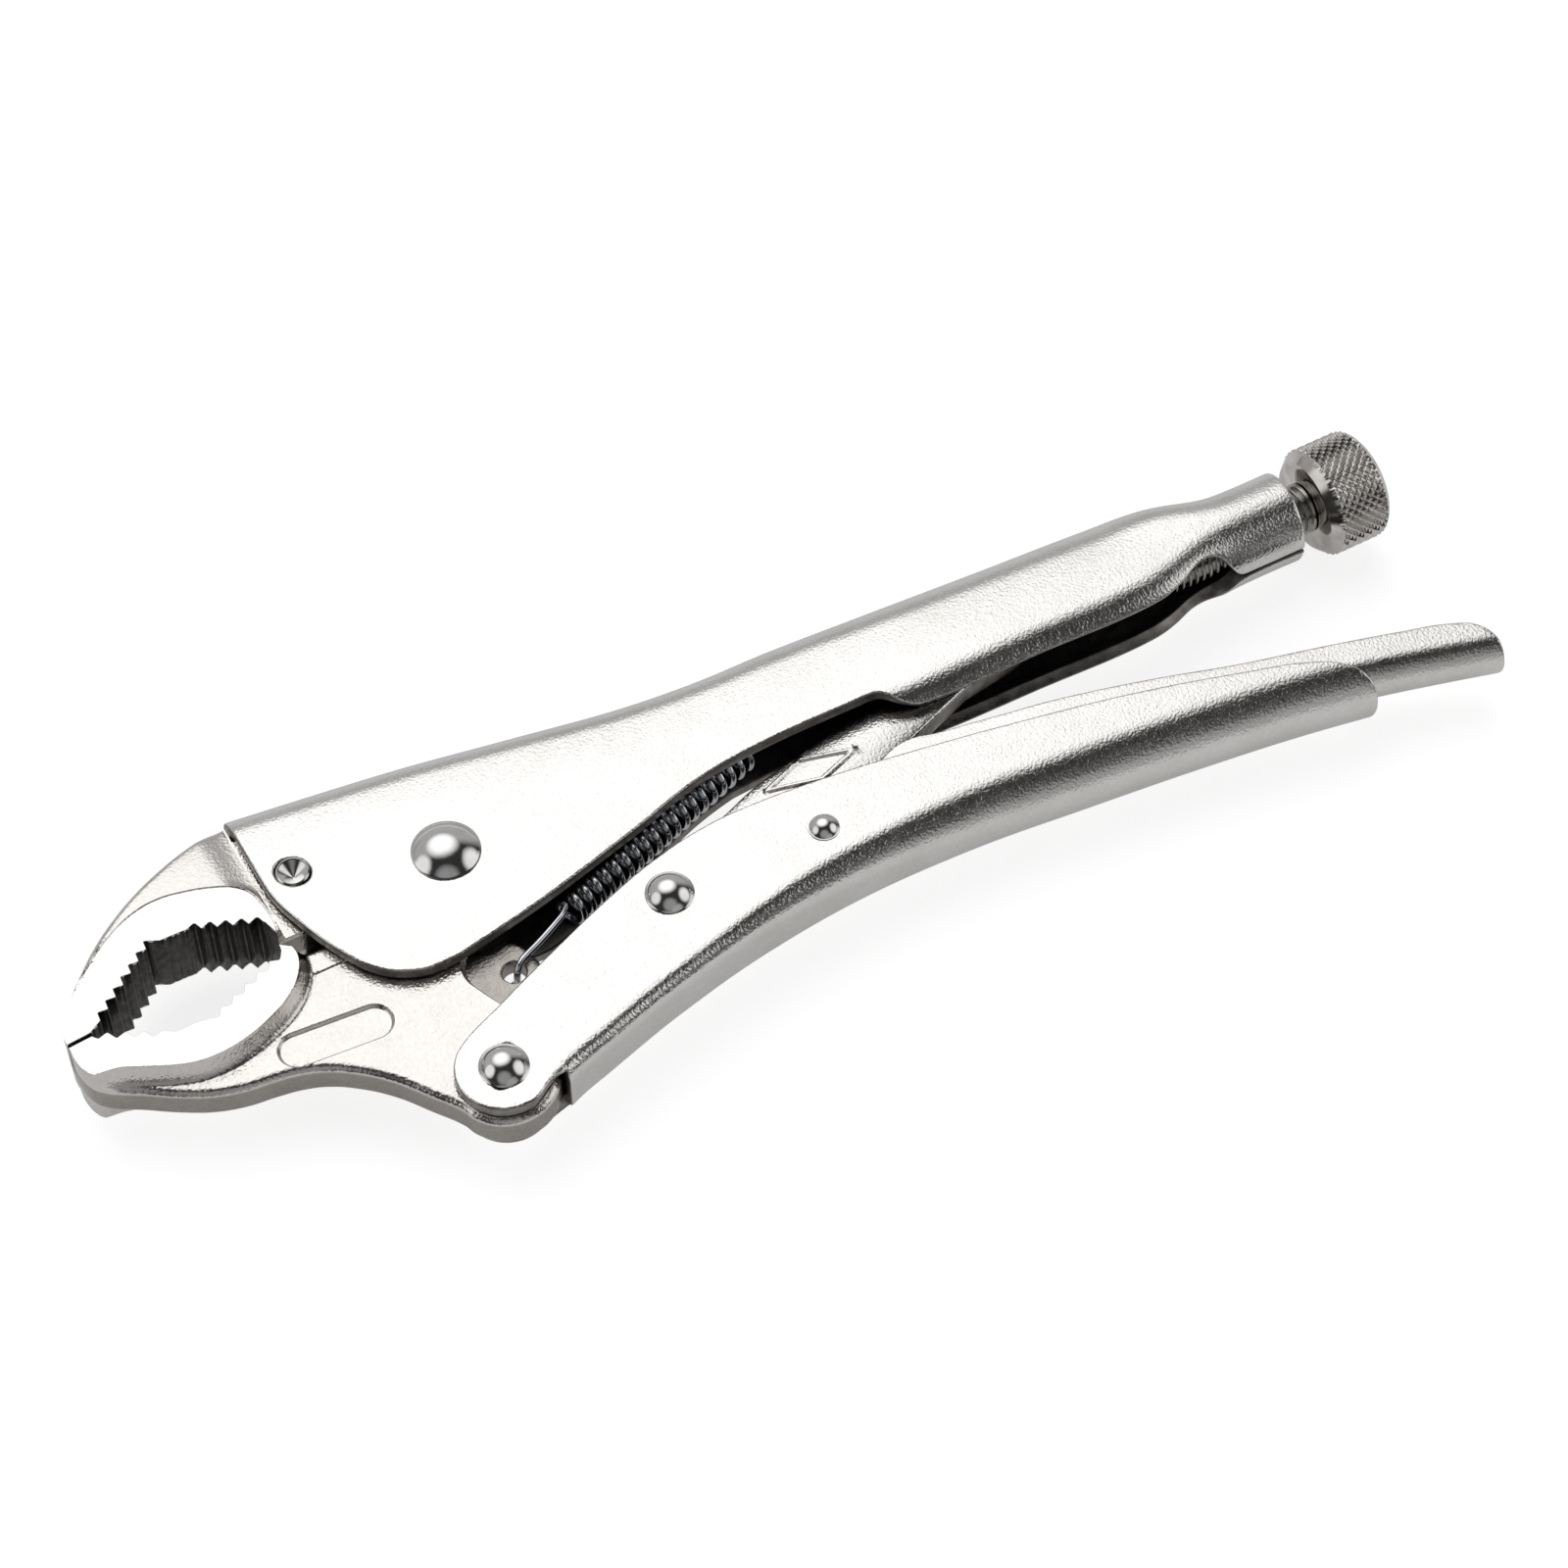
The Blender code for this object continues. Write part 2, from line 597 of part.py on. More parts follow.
def rivet(name, place, shank, head, height, seat):
    """A rivet along Z with the same domed head on both plates, seat being the plates' outer face."""
    head_gap = 0.1
    base = seat + head_gap
    ball = (head * head + height * height) / (2 * height)
    half_angle = math.asin(head / ball)
    dome = []
    for i in range(7):
        angle = half_angle * i / 6
        dome.append((ball * math.sin(angle), base + height - ball * (1 - math.cos(angle))))
    upper = dome + [(shank, base)]
    lower = [(radius, -z) for radius, z in reversed(upper)]
    profile = [(max(radius, 0.0), z) for radius, z in upper + lower]
    return turned_part(name, profile, (*place, 0.0), (0, 0, 0), POLISHED_STEEL, 24)


def make_stake_pin():
    """A cross pin set flush with the plates, spread by a conical punch mark in each end."""
    end = PLATE_HALF_WIDTH
    upper = [(0.0, end - PUNCH_DEPTH), (STAKE_RADIUS - 0.3, end), (STAKE_RADIUS, end - 0.2)]
    profile = upper + [(radius, -z) for radius, z in reversed(upper)]
    turned_part("jaw_stake_pin", profile, (*STAKE_PIN, 0.0), (0, 0, 0), POLISHED_STEEL, 24)


def make_screw():
    """The threaded rod, drawn as a plain bar of the thread's outside size, its axis along X."""
    length = KNOB_FRONT_X - SCREW_TIP_X
    profile = [
        (0.0, SPIGOT_LENGTH), (SPIGOT_RADIUS, SPIGOT_LENGTH), (SPIGOT_RADIUS, -RUNNING_GAP),
        (THREAD_RADIUS, -RUNNING_GAP), (THREAD_RADIUS, -length + 1.5), (THREAD_RADIUS - 1.5, -length),
        (0.0, -length),
    ]
    turned_part("adjusting_screw", profile, (KNOB_FRONT_X, SCREW_Y, 0.0), ALONG_X, KNURLED_STEEL, 24)


def make_knob():
    length = KNOB_END_X - KNOB_FRONT_X
    bore = SPIGOT_RADIUS + RUNNING_GAP
    profile = [
        (0.0, length), (KNOB_RADIUS - 2.4, length), (KNOB_RADIUS, length - 1.6), (KNOB_RADIUS, 2.2),
        (KNOB_RADIUS - 1.8, 0.0), (bore, 0.0), (bore, SPIGOT_LENGTH + RUNNING_GAP),
        (0.0, SPIGOT_LENGTH + RUNNING_GAP),
    ]
    turned_part("adjusting_knob", profile, (KNOB_FRONT_X, SCREW_Y, 0.0), ALONG_X, KNURLED_STEEL, 36)


# ---------------------------------------------------------------- tension spring


def spring_points():
    """The wire's path: through the hole in the lower jaw, along the coil, and through the handle's tab."""
    start, end = Vector((*SPRING_FRONT, 0.0)), Vector((*SPRING_REAR, 0.0))
    along = (end - start).normalized()
    across = Vector((-along.y, along.x, 0.0))
    lift = Vector((0, 0, 1))
    leg_z = SPRING_SEAT_HALF + 1.0
    hook = Vector((*SPRING_HOLE, 0.0))
    points = [
        hook - lift * 1.6, hook + lift * 1.4, hook + along * 0.6 + lift * (leg_z - 0.3),
        hook + along * 2.0 + lift * leg_z, start - along * 2.4 + lift * leg_z,
    ]
    steps = 8 * SPRING_TURNS
    for i in range(steps + 1):
        angle = 2 * math.pi * i / 8
        centre = start + (end - start) * i / steps
        points.append(centre + (lift * math.cos(angle) + across * math.sin(angle)) * SPRING_RADIUS)
    tab = Vector((SPRING_TAB_X, SPRING_TAB_Y, 0.0))
    points.append(end + along * 2.2 + lift * 1.6)
    points += [tab - Vector((4.5, 0.6, -0.4)), tab - Vector((2.0, 0, 0)), tab]
    points += [tab + Vector((1.8, 0, 0)), tab + Vector((2.8, -1.2, 0)), tab + Vector((2.8, -2.6, 0))]
    return points


def make_spring():
    curve = bpy.data.curves.new("tension_spring", "CURVE")
    curve.dimensions = "3D"
    curve.bevel_depth = SPRING_WIRE * MM
    curve.bevel_resolution = 2
    curve.use_fill_caps = True
    spline = curve.splines.new("POLY")
    points = spring_points()
    spline.points.add(len(points) - 1)
    for place, point in zip(points, spline.points):
        point.co = (*(place * MM), 1.0)
    obj = bpy.data.objects.new("tension_spring", curve)
    curve.materials.append(SPRING_STEEL)
    obj.parent = FRAME
    PARTS.objects.link(obj)


# ---------------------------------------------------------------- the whole tool


def set_down_on_side():
    """Moves the frame so that the tool's box stands on the ground with its middle over the origin."""
    bpy.context.view_layer.update()
    graph = bpy.context.evaluated_depsgraph_get()
    corners = []
    for obj in PARTS.objects:
        if obj.type != "EMPTY":
            solid = obj.evaluated_get(graph)
            mesh = solid.to_mesh()
            corners += [solid.matrix_world @ vertex.co for vertex in mesh.vertices]
            solid.to_mesh_clear()
    low = [min(c[k] for c in corners) for k in range(3)]
    high = [max(c[k] for c in corners) for k in range(3)]
    FRAME.location = (-(low[0] + high[0]) / 2, -(low[1] + high[1]) / 2, -low[2])


make_fixed_handle()
make_upper_jaw()
make_lower_jaw()
make_moving_handle()
make_toggle_link()
make_release_lever()
rivet("jaw_pivot_rivet", JAW_PIVOT, JAW_PIVOT_RADIUS, 6.0, 2.6, PLATE_HALF_WIDTH)
rivet("lower_jaw_rivet", HANDLE_PIVOT, RIVET_RADIUS, 4.2, 2.6, PLATE_HALF_WIDTH)
rivet("toggle_rivet", TOGGLE_PIVOT, RIVET_RADIUS, 4.2, 2.6, MOVING_HALF(TOGGLE_PIVOT[0] + 4))
rivet("release_lever_rivet", RELEASE_PIVOT, SMALL_RIVET_RADIUS, 2.7, 1.7, MOVING_HALF(RELEASE_PIVOT[0] + 3))
make_stake_pin()
make_screw()
make_knob()
make_spring()
set_down_on_side()
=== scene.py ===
"""Looks for the locking pliers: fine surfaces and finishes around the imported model.

Every piece is drawn in millimetres in the tool frame, whose zero is the middle of the jaw pivot: X runs
along the adjusting screw towards the knob, Y to the fixed handle's back, Z across the plates. A plate,
forging or pressed channel is one closed sheet over a flat region: the region is triangulated with rows
of points along its edges, then both faces are laid out, so every edge is truly rounded.
"""

import math

import bmesh
import bpy
import numpy as np
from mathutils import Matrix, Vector, geometry, kdtree


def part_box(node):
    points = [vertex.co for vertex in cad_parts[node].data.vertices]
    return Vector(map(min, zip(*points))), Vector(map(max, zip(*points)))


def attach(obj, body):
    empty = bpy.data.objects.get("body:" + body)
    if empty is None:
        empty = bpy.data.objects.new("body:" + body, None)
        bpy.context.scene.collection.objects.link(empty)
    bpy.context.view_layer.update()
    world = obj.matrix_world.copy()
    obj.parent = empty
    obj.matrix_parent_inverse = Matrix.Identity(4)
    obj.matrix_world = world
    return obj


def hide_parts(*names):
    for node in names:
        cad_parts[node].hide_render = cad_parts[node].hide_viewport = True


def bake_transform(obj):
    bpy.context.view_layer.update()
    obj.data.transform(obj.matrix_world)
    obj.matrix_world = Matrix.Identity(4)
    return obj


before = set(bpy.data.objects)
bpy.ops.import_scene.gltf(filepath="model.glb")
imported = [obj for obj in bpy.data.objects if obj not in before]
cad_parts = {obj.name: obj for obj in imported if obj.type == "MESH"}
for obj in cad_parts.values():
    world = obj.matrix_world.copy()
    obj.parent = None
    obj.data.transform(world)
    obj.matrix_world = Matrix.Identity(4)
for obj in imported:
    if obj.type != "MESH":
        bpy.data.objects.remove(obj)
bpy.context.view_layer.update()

MM = 0.001
PIVOT_LOW, PIVOT_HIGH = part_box("jaw_pivot_rivet")
ORIGIN = (PIVOT_LOW + PIVOT_HIGH) / 2

# Pivots and axes, in the tool frame
JAW_PIVOT = (0.0, 0.0)
HANDLE_PIVOT = (-10.5, -43.0)
TOGGLE_PIVOT = (29.3, -26.2)
RELEASE_PIVOT = (58.5, -27.6)
STAKE_PIN = (-24.7, 8.8)
SCREW_Y = -4.0
LINK_TIP = (107.5, -5.0)
SPRING_HOLE = (0.2, -25.0)
SPRING_TAB = (67.0, 4.2)

# Radii of the holes for the pins and the spring
JAW_PIVOT_HOLE = 4.2
STAKE_HOLE = 3.0
PIVOT_HOLE = 3.2
RELEASE_HOLE = 2.2
SPRING_HOLE_RADIUS = 2.1
TAB_HOLE_RADIUS = 1.3

# Thickness of the sheet, and half thicknesses across the tool
SHEET = 2.4
LEVER_SHEET = 1.1
PLATE_HALF = 6.2
WEB_HALF = 3.5
LINK_HALF = 2.9
LEVER_HALF = 4.3
PAD_HALF = 7.0
SPRING_SEAT_HALF = 2.0

# Screw, knob and spring
THREAD_RADIUS = 4.8
BORE_RADIUS = 5.1
TUBE_RADIUS = 8.5
THREAD_PITCH = 1.5
THREAD_DEPTH = 0.82
SCREW_TIP_X = 115.5
KNOB_FRONT_X = 172.8
KNOB_END_X = 185.8
KNOB_RADIUS = 10.5
KNURL_DEPTH = 0.6
SPRING_FRONT = (13.6, -17.7)
SPRING_REAR = (56.0, -2.9)
SPRING_RADIUS = 2.6
SPRING_WIRE = 0.6
SPRING_TURNS = 19

CORNER = "VECTOR"
ROUND = "AUTO"


# ---- lines


def cubic(t):
    """How much each end's value and each end's slope count at t along a smooth curve."""
    return 2 * t**3 - 3 * t**2 + 1, 3 * t**2 - 2 * t**3, t**3 - 2 * t**2 + t, t**3 - t**2


def smooth_line(points):
    """A smooth function y(x) through a few points, level with their chords."""
    xs, ys = np.array(points, float).T
    last = len(xs) - 1
    order = np.arange(len(xs))
    before, after = np.maximum(order - 1, 0), np.minimum(order + 1, last)
    slopes = (ys[after] - ys[before]) / (xs[after] - xs[before])

    def value(x):
        x = np.clip(x, xs[0], xs[-1])
        i = np.clip(np.searchsorted(xs, x, side="right") - 1, 0, last - 1)
        span = xs[i + 1] - xs[i]
        first, second, leaving, arriving = cubic((x - xs[i]) / span)
        return first * ys[i] + second * ys[i + 1] + (leaving * slopes[i] + arriving * slopes[i + 1]) * span

    return value


def ramp(x, low, high):
    """0 before low, 1 after high, and a smooth step between."""
    t = np.clip((x - low) / (high - low), 0.0, 1.0)
    return t * t * (3 - 2 * t)


def arc(centre, radius, start, end, steps):
    """Outline points on an arc, the angles in degrees."""
    points = []
    for i in range(steps + 1):
        angle = math.radians(start + (end - start) * i / steps)
        points.append((centre[0] + radius * math.cos(angle), centre[1] + radius * math.sin(angle)))
    return points


def teeth(start, end, count, depth, flat=0.12):
    """Serrations along a line: notches of that depth on its left, with small flats on tips and roots."""
    dx, dy = (end[0] - start[0]) / count, (end[1] - start[1]) / count
    pitch = math.hypot(dx, dy)
    side = (-dy / pitch * depth, dx / pitch * depth)
    points = []
    for i in range(count):
        for share, deep in ((0.0, 0), (0.5 - flat / 2, 1), (0.5 + flat / 2, 1), (1.0 - flat / 2, 0)):
            x = start[0] + dx * (i + share) + side[0] * deep
            y = start[1] + dy * (i + share) + side[1] * deep
            points.append((x, y, CORNER))
    points.append((*end, CORNER))
    return points


def outline(points, steps=8, longest=0.6):
    """The closed line through (x, y) or (x, y, CORNER) points as close points, anticlockwise."""
    curve = bpy.data.curves.new("outline", "CURVE")
    curve.dimensions = "2D"
    curve.fill_mode = "NONE"
    curve.resolution_u = steps
    spline = curve.splines.new("BEZIER")
    spline.bezier_points.add(len(points) - 1)
    spline.use_cyclic_u = True
    for point, place in zip(spline.bezier_points, points):
        point.co = (place[0], place[1], 0.0)
        point.handle_left_type = point.handle_right_type = place[2] if len(place) > 2 else ROUND
    holder = bpy.data.objects.new("outline", curve)
    bpy.context.scene.collection.objects.link(holder)
    graph = bpy.context.evaluated_depsgraph_get()
    mesh = holder.evaluated_get(graph).to_mesh()
    line = np.array([vertex.co[:2] for vertex in mesh.vertices])
    bpy.data.objects.remove(holder)
    bpy.data.curves.remove(curve)
    return wound(filled(line, longest))


def filled(line, longest, closed=True):
    """The line without repeated points, and with points added where two lie far apart."""
    ends = np.roll(line, -1, axis=0) if closed else line[1:]
    points = []
    for a, b in zip(line, ends):
        gap = np.linalg.norm(b - a)
        if gap < 0.02:
            continue
        count = max(1, math.ceil(gap / longest))
        points += [a + (b - a) * k / count for k in range(count)]
    if not closed:
        points.append(line[-1])
    return np.array(points)


def wound(loop, hole=False):
    """The loop, run anticlockwise, or clockwise for a hole."""
    after = np.roll(loop, -1, axis=0)
    area = (loop[:, 0] * after[:, 1] - after[:, 0] * loop[:, 1]).sum()
    return loop[::-1] if (area > 0) == hole else loop


def longest_run(points, wanted):
    """The longest stretch of neighbouring wanted points on a closed line, where not all are wanted."""
    start = int(np.argmax(wanted & ~np.roll(wanted, 1)))
    runs = [[]]
    for i in np.roll(np.arange(len(points)), -start):
        if wanted[i]:
            runs[-1].append(i)
        else:
            runs.append([])
    return points[max(runs, key=len)]


def circle(centre, radius, count=40):
    return wound(np.array(arc(centre, radius, 0, 360, count)[:-1]), hole=True)


# ---- flat regions


def distance(points, line, closed=True):
    """Each point's distance to a line of close points, from the stretches next to its nearest point."""
    count = len(line)
    tree = kdtree.KDTree(count)
    for i, (x, y) in enumerate(line):
        tree.insert((x, y, 0.0), i)
    tree.balance()
    nearest = np.array([tree.find((x, y, 0.0))[1] for x, y in points])
    found = np.full(len(points), np.inf)
    for shift in (-2, -1, 0, 1):
        pair = np.stack([nearest + shift, nearest + shift + 1])
        start, end = pair % count if closed else np.clip(pair, 0, count - 1)
        span = line[end] - line[start]
        away = points - line[start]
        t = np.clip((away * span).sum(axis=1) / ((span**2).sum(axis=1) + 1e-12), 0, 1)
        found = np.minimum(found, np.linalg.norm(away - t[:, None] * span, axis=1))
    return found


def within(points, loop):
    """Which points lie inside the closed loop."""
    ax, ay = loop.T
    bx, by = np.roll(loop, -1, axis=0).T
    rise = np.where(by == ay, 1.0, by - ay)
    found = np.empty(len(points), bool)
    for k in range(0, len(points), 2000):
        x, y = points[k:k + 2000, 0, None], points[k:k + 2000, 1, None]
        crosses = ((ay > y) != (by > y)) & (x < (bx - ax) * (y - ay) / rise + ax)
        found[k:k + 2000] = crosses.sum(axis=1) % 2 == 1
    return found


def beside(line, gap, closed=True):
    """The line moved to its left by the gap."""
    if closed:
        before, after = line - np.roll(line, 1, axis=0), np.roll(line, -1, axis=0) - line
    else:
        steps = np.diff(line, axis=0)
        before, after = np.vstack([steps[:1], steps]), np.vstack([steps, steps[-1:]])
    turned = []
    for step in (before, after):
        unit = step / np.linalg.norm(step, axis=1)[:, None]
        turned.append(np.column_stack([-unit[:, 1], unit[:, 0]]))
    middle = turned[0] + turned[1]
    middle /= np.linalg.norm(middle, axis=1)[:, None] + 1e-9
    reach = np.maximum((middle * turned[0]).sum(axis=1), 0.5)
    return line + middle * (gap / reach)[:, None]


def cells(points, size):
    """The square of that size that each point lies in."""
    return [tuple(cell) for cell in np.floor(points / size).astype(int)]


def region(loops, rows, step, features=(), stretch=1.0):
    """Triangulates the region inside loops[0] and outside the other loops.

    rows are distances from the loops at which rows of points run along them, features are
    (line, offsets, closed) with rows at those distances to either side, and step is the spacing of the
    points elsewhere, stretch times wider along the first axis.
    """
    near = np.vstack(loops)

    def edge_distance(points):
        return np.min([distance(points, loop) for loop in loops], axis=0)

    def kept(points):
        good = within(points, loops[0])
        for hole in loops[1:]:
            good &= ~within(points, hole)
        return good

    placed, taken = [], set()
    for line, offsets, closed in features:
        own = set()
        for gap in offsets:
            moved = beside(line, gap, closed)
            moved = moved[(distance(moved, line, closed) >= 0.9 * abs(gap)) & kept(moved)]
            moved = moved[edge_distance(moved) > 0.12]
            spots = cells(moved, 0.4)
            own.update(spots)
            placed.append(moved[np.array([spot not in taken for spot in spots], bool)])
        taken |= own
    for gap in rows:
        for loop in loops:
            moved = beside(loop, gap)
            moved = moved[(edge_distance(moved) >= 0.9 * gap) & kept(moved)]
            placed.append(moved)
    low, high = near.min(axis=0), near.max(axis=0)
    xs = np.arange(low[0], high[0], step * stretch)
    ys = np.arange(low[1], high[1], step)
    grid = np.stack(np.meshgrid(xs, ys), axis=2).reshape(-1, 2)
    grid = grid[kept(grid)]
    grid = grid[edge_distance(grid) > rows[-1] + 0.45 * step]
    if features:
        taken = set(cells(np.vstack(placed), 0.5 * step))
        grid = grid[np.array([cell not in taken for cell in cells(grid, 0.5 * step)], bool)]
    placed.append(grid)
    edges, first = [], 0
    for loop in loops:
        edges += [(first + i, first + (i + 1) % len(loop)) for i in range(len(loop))]
        first += len(loop)
    points = [Vector(point) for point in np.vstack([near] + placed)]
    flat = geometry.delaunay_2d_cdt(points, edges, [], 0, 0.0005, False)
    corners = np.array([tuple(v) for v in flat[0]])
    faces = np.array([tuple(face) for face in flat[2]])
    gap = edge_distance(corners)
    inside = (gap[faces] >= 0.001).any(axis=1)
    inside[~inside] = kept(corners[faces[~inside]].mean(axis=1))
    used, faces = np.unique(faces[inside], return_inverse=True)
    return corners[used], faces.reshape(-1, 3), gap[used]


def edge_drop(gap, radius):
    """How far a rounded edge of that radius lies below the face, at a distance from the edge."""
    short = np.clip(radius - gap, 0.0, radius)
    return radius - np.sqrt(np.maximum(radius**2 - short**2, 0.0))


def rounding_rows(radius, count=4):
    return [radius * (1 - math.cos(math.pi / 2 * k / count)) for k in range(1, count + 1)]


TOP, BOTTOM, RIM = 0, 1, 2


def sheet(corners, faces, top, bottom):
    """A closed solid from the two faces laid over a triangulated region.

    The third value tells which face of the sheet each of its faces lies on: TOP, BOTTOM or RIM.
    """
    count = len(corners)
    seen = dict.fromkeys(edge for a, b, c in faces for edge in ((a, b), (b, c), (c, a)))
    solid = [tuple(face) for face in faces] + [tuple(face[::-1] + count) for face in faces]
    kinds = [TOP] * len(faces) + [BOTTOM] * len(faces)
    for a, b in seen:
        if (b, a) not in seen:
            solid.append((b, a, a + count, b + count))
            kinds.append(RIM)
    return np.vstack([top, bottom]), solid, np.array(kinds)


def slab(corners, faces, top, bottom=None):
    """A closed solid: top is its height above the middle plane, bottom its depth below, or the same."""
    bottom = top if bottom is None else bottom
    return sheet(corners, faces, np.column_stack([corners, top]), np.column_stack([corners, -bottom]))


# ---- making pieces


def add_piece(name, points, faces, materials, body, nodes, picks=None, sharp=38):
    """A named piece from points in the tool frame, riding on a body and standing for CAD nodes.

    picks is each face's place in materials. Without a body the piece is not attached to one.
    """
    mesh = bpy.data.meshes.new(name)
    placed = np.array(points, float) * MM + np.array(ORIGIN)
    mesh.from_pydata(placed.tolist(), [], [tuple(int(k) for k in face) for face in faces])
    for material in materials:
        mesh.materials.append(material)
    if picks is not None:
        mesh.polygons.foreach_set("material_index", np.array(picks, np.int32))
    work = bmesh.new()
    work.from_mesh(mesh)
    bmesh.ops.remove_doubles(work, verts=work.verts, dist=0.000001)
    bmesh.ops.recalc_face_normals(work, faces=work.faces)
    work.to_mesh(mesh)
    work.free()
    mesh.shade_smooth()
    mesh.set_sharp_from_angle(angle=math.radians(sharp))
    obj = bpy.data.objects.new(name, mesh)
    bpy.context.scene.collection.objects.link(obj)
    if nodes:
        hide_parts(*nodes)
    if body:
        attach(obj, body)
    return obj


def walls(rings, sides, capped=False):
    """Faces between rings of points laid one after another, and over both ends if capped."""
    faces = []
    for low in range(0, (rings - 1) * sides, sides):
        for k in range(sides):
            j = (k + 1) % sides
            faces.append((low + k, low + j, low + sides + j, low + sides + k))
    if capped:
        faces += [tuple(range(sides)), tuple(range((rings - 1) * sides, rings * sides))]
    return faces


def tube(path, radius, sides=14):
    """Points and faces of a round wire along a path, its ends domed."""
    points = []
    side = (path[1] - path[0]).normalized().orthogonal().normalized()
    for i, place in enumerate(path):
        ahead = (path[min(i + 1, len(path) - 1)] - path[max(i - 1, 0)]).normalized()
        side = (side - ahead * side.dot(ahead)).normalized()
        across = ahead.cross(side)
        for k in range(sides):
            angle = 2 * math.pi * k / sides
            points.append(tuple(place + (side * math.cos(angle) + across * math.sin(angle)) * radius))
    faces = walls(len(path), sides)
    last = len(points) - sides
    for first, end, inner in ((0, path[0], path[1]), (last, path[-1], path[-2])):
        tip = len(points)
        points.append(tuple(end + (end - inner).normalized() * radius * 0.5))
        for k in range(sides):
            faces.append((first + k, first + (k + 1) % sides, tip))
    return points, faces


# ---- materials


def add_node(tree, kind, inputs, **settings):
    """A new shader node; inputs gives each socket's value, or the socket that feeds it."""
    node = tree.nodes.new("ShaderNode" + kind)
    for name, value in settings.items():
        setattr(node, name, value)
    for key, value in inputs.items():
        if isinstance(value, bpy.types.NodeSocket):
            tree.links.new(value, node.inputs[key])
        else:
            node.inputs[key].default_value = value
    return node


class Finish:
    """A metal finish: a Principled shader, and short calls for the nodes that vary it."""

    def __init__(self, name, colour, roughness):
        self.material = bpy.data.materials.new(name)
        self.material.use_nodes = True
        self.tree = self.material.node_tree
        self.shader = self.tree.nodes["Principled BSDF"]
        self.shader.inputs["Metallic"].default_value = 1.0
        self.shader.inputs["Base Color"].default_value = (*colour, 1.0)
        self.shader.inputs["Roughness"].default_value = roughness
        self.place = self.node("TexCoord", {}).outputs["Object"]

    def node(self, kind, inputs, **settings):
        return add_node(self.tree, kind, inputs, **settings)

    def noise(self, size, detail=2.0, stretch=(1, 1, 1), turn=(0, 0, 0)):
        """Noise whose grains are about size millimetres across."""
        scale = [1 / (size * MM * s) for s in stretch]
        mapping = self.node("Mapping", {"Vector": self.place, "Rotation": turn, "Scale": scale})
        noise = self.node("TexNoise", {"Vector": mapping.outputs["Vector"], "Scale": 1.0, "Detail": detail})
        return noise.outputs["Fac"]

    def spread(self, value, low=0.0, high=1.0, start=0.3, end=0.7):
        """The part of a value from start to end, spread between low and high."""
        return self.node("MapRange", {0: value, 1: start, 2: end, 3: low, 4: high}).outputs["Result"]

    def combine(self, first, second, operation="ADD"):
        return self.node("Math", {0: first, 1: second}, operation=operation).outputs[0]

    def colour(self, factor, dark, light):
        inputs = {"Factor": factor, "A": (*dark, 1.0), "B": (*light, 1.0)}
        mix = self.node("Mix", inputs, data_type="RGBA", clamp_factor=False)
        self.tree.links.new(mix.outputs["Result"], self.shader.inputs["Base Color"])

    def roughness(self, value):
        self.tree.links.new(value, self.shader.inputs["Roughness"])

    def bump(self, *layers):
        """Bump layers of (height, depth in millimetres), each on top of the one before."""
        inputs = {"Strength": 1.0}
        for height, depth in layers:
            inputs.update({"Height": height, "Distance": depth * MM})
            inputs["Normal"] = self.node("Bump", inputs).outputs["Normal"]
        self.tree.links.new(inputs["Normal"], self.shader.inputs["Normal"])


PEBBLE = 0.5
PEBBLE_DEPTH = 0.085


def satin_nickel(name, dark, light, painted_shade_within=None):
    """Nickel plate over a blasted surface: a pebbled grain, smoother on worn edges.

    The last argument, if given, is a distance from the middle plane in millimetres: faces nearer the middle
    plane than that, down in recesses such as the spring seat and along the middle of the side walls, get
    painted shade, darker and rougher.
    """
    finish = Finish(name, light, 0.2)
    tone_and_painted_shade = finish.spread(finish.combine(finish.noise(9.0), finish.noise(0.8)), start=0.7, end=1.3)
    rough = finish.spread(finish.noise(2.5), 0.14, 0.21)
    worn = finish.spread(finish.node("NewGeometry", {}).outputs["Pointiness"], 0.0, 0.07, 0.51, 0.56)
    rough = finish.combine(rough, worn, "SUBTRACT")
    # Painted shade: faces near the middle plane, where the recesses lie, are painted much darker and made
    # rougher.
    if painted_shade_within:
        z = finish.node("SeparateXYZ", {0: finish.place}).outputs["Z"]
        away = finish.combine(finish.combine(z, float(ORIGIN.z), "SUBTRACT"), 0.0, "ABSOLUTE")
        deep = finish.spread(away, 1.0, 0.0, (painted_shade_within - 0.2) * MM, (painted_shade_within + 0.2) * MM)
        tone_and_painted_shade = finish.combine(tone_and_painted_shade, finish.combine(deep, 4.0, "MULTIPLY"), "SUBTRACT")
        rough = finish.combine(rough, finish.combine(deep, 0.12, "MULTIPLY"))
    finish.colour(tone_and_painted_shade, dark, light)
    finish.roughness(rough)
    waves, pebbles, specks = finish.noise(7.0, 1.0), finish.noise(PEBBLE, 1.5), finish.noise(0.12, 1.0)
    finish.bump((waves, 0.008), (pebbles, PEBBLE_DEPTH), (specks, 0.006))
    return finish.material


def plain_metal(name, dark, light, rough, grain, depth):
    """A metal with a fine grain, uneven gloss and a slight change of tone."""
    finish = Finish(name, light, rough)
    finish.colour(finish.spread(finish.noise(3.0, 3.0)), dark, light)
    finish.roughness(finish.spread(finish.noise(0.9, 3.0), rough * 0.8, rough * 1.35))
    finish.bump((finish.noise(grain, 2.0), depth))
    return finish.material


def ground_steel():
    """Flanks ground on a belt: fine parallel lines across the jaw."""
    finish = Finish("ground_steel", (0.93, 0.92, 0.90), 0.2)
    turn = (0, 0, math.radians(22))
    lines = finish.noise(0.22, 3.0, (1, 60, 1), turn)
    broad = finish.noise(1.1, 2.0, (1, 25, 1), turn)
    finish.colour(finish.spread(broad), (0.86, 0.85, 0.83), (0.95, 0.94, 0.92))
    finish.roughness(finish.spread(lines, 0.16, 0.3))
    finish.bump((lines, 0.004), (broad, 0.006))
    return finish.material


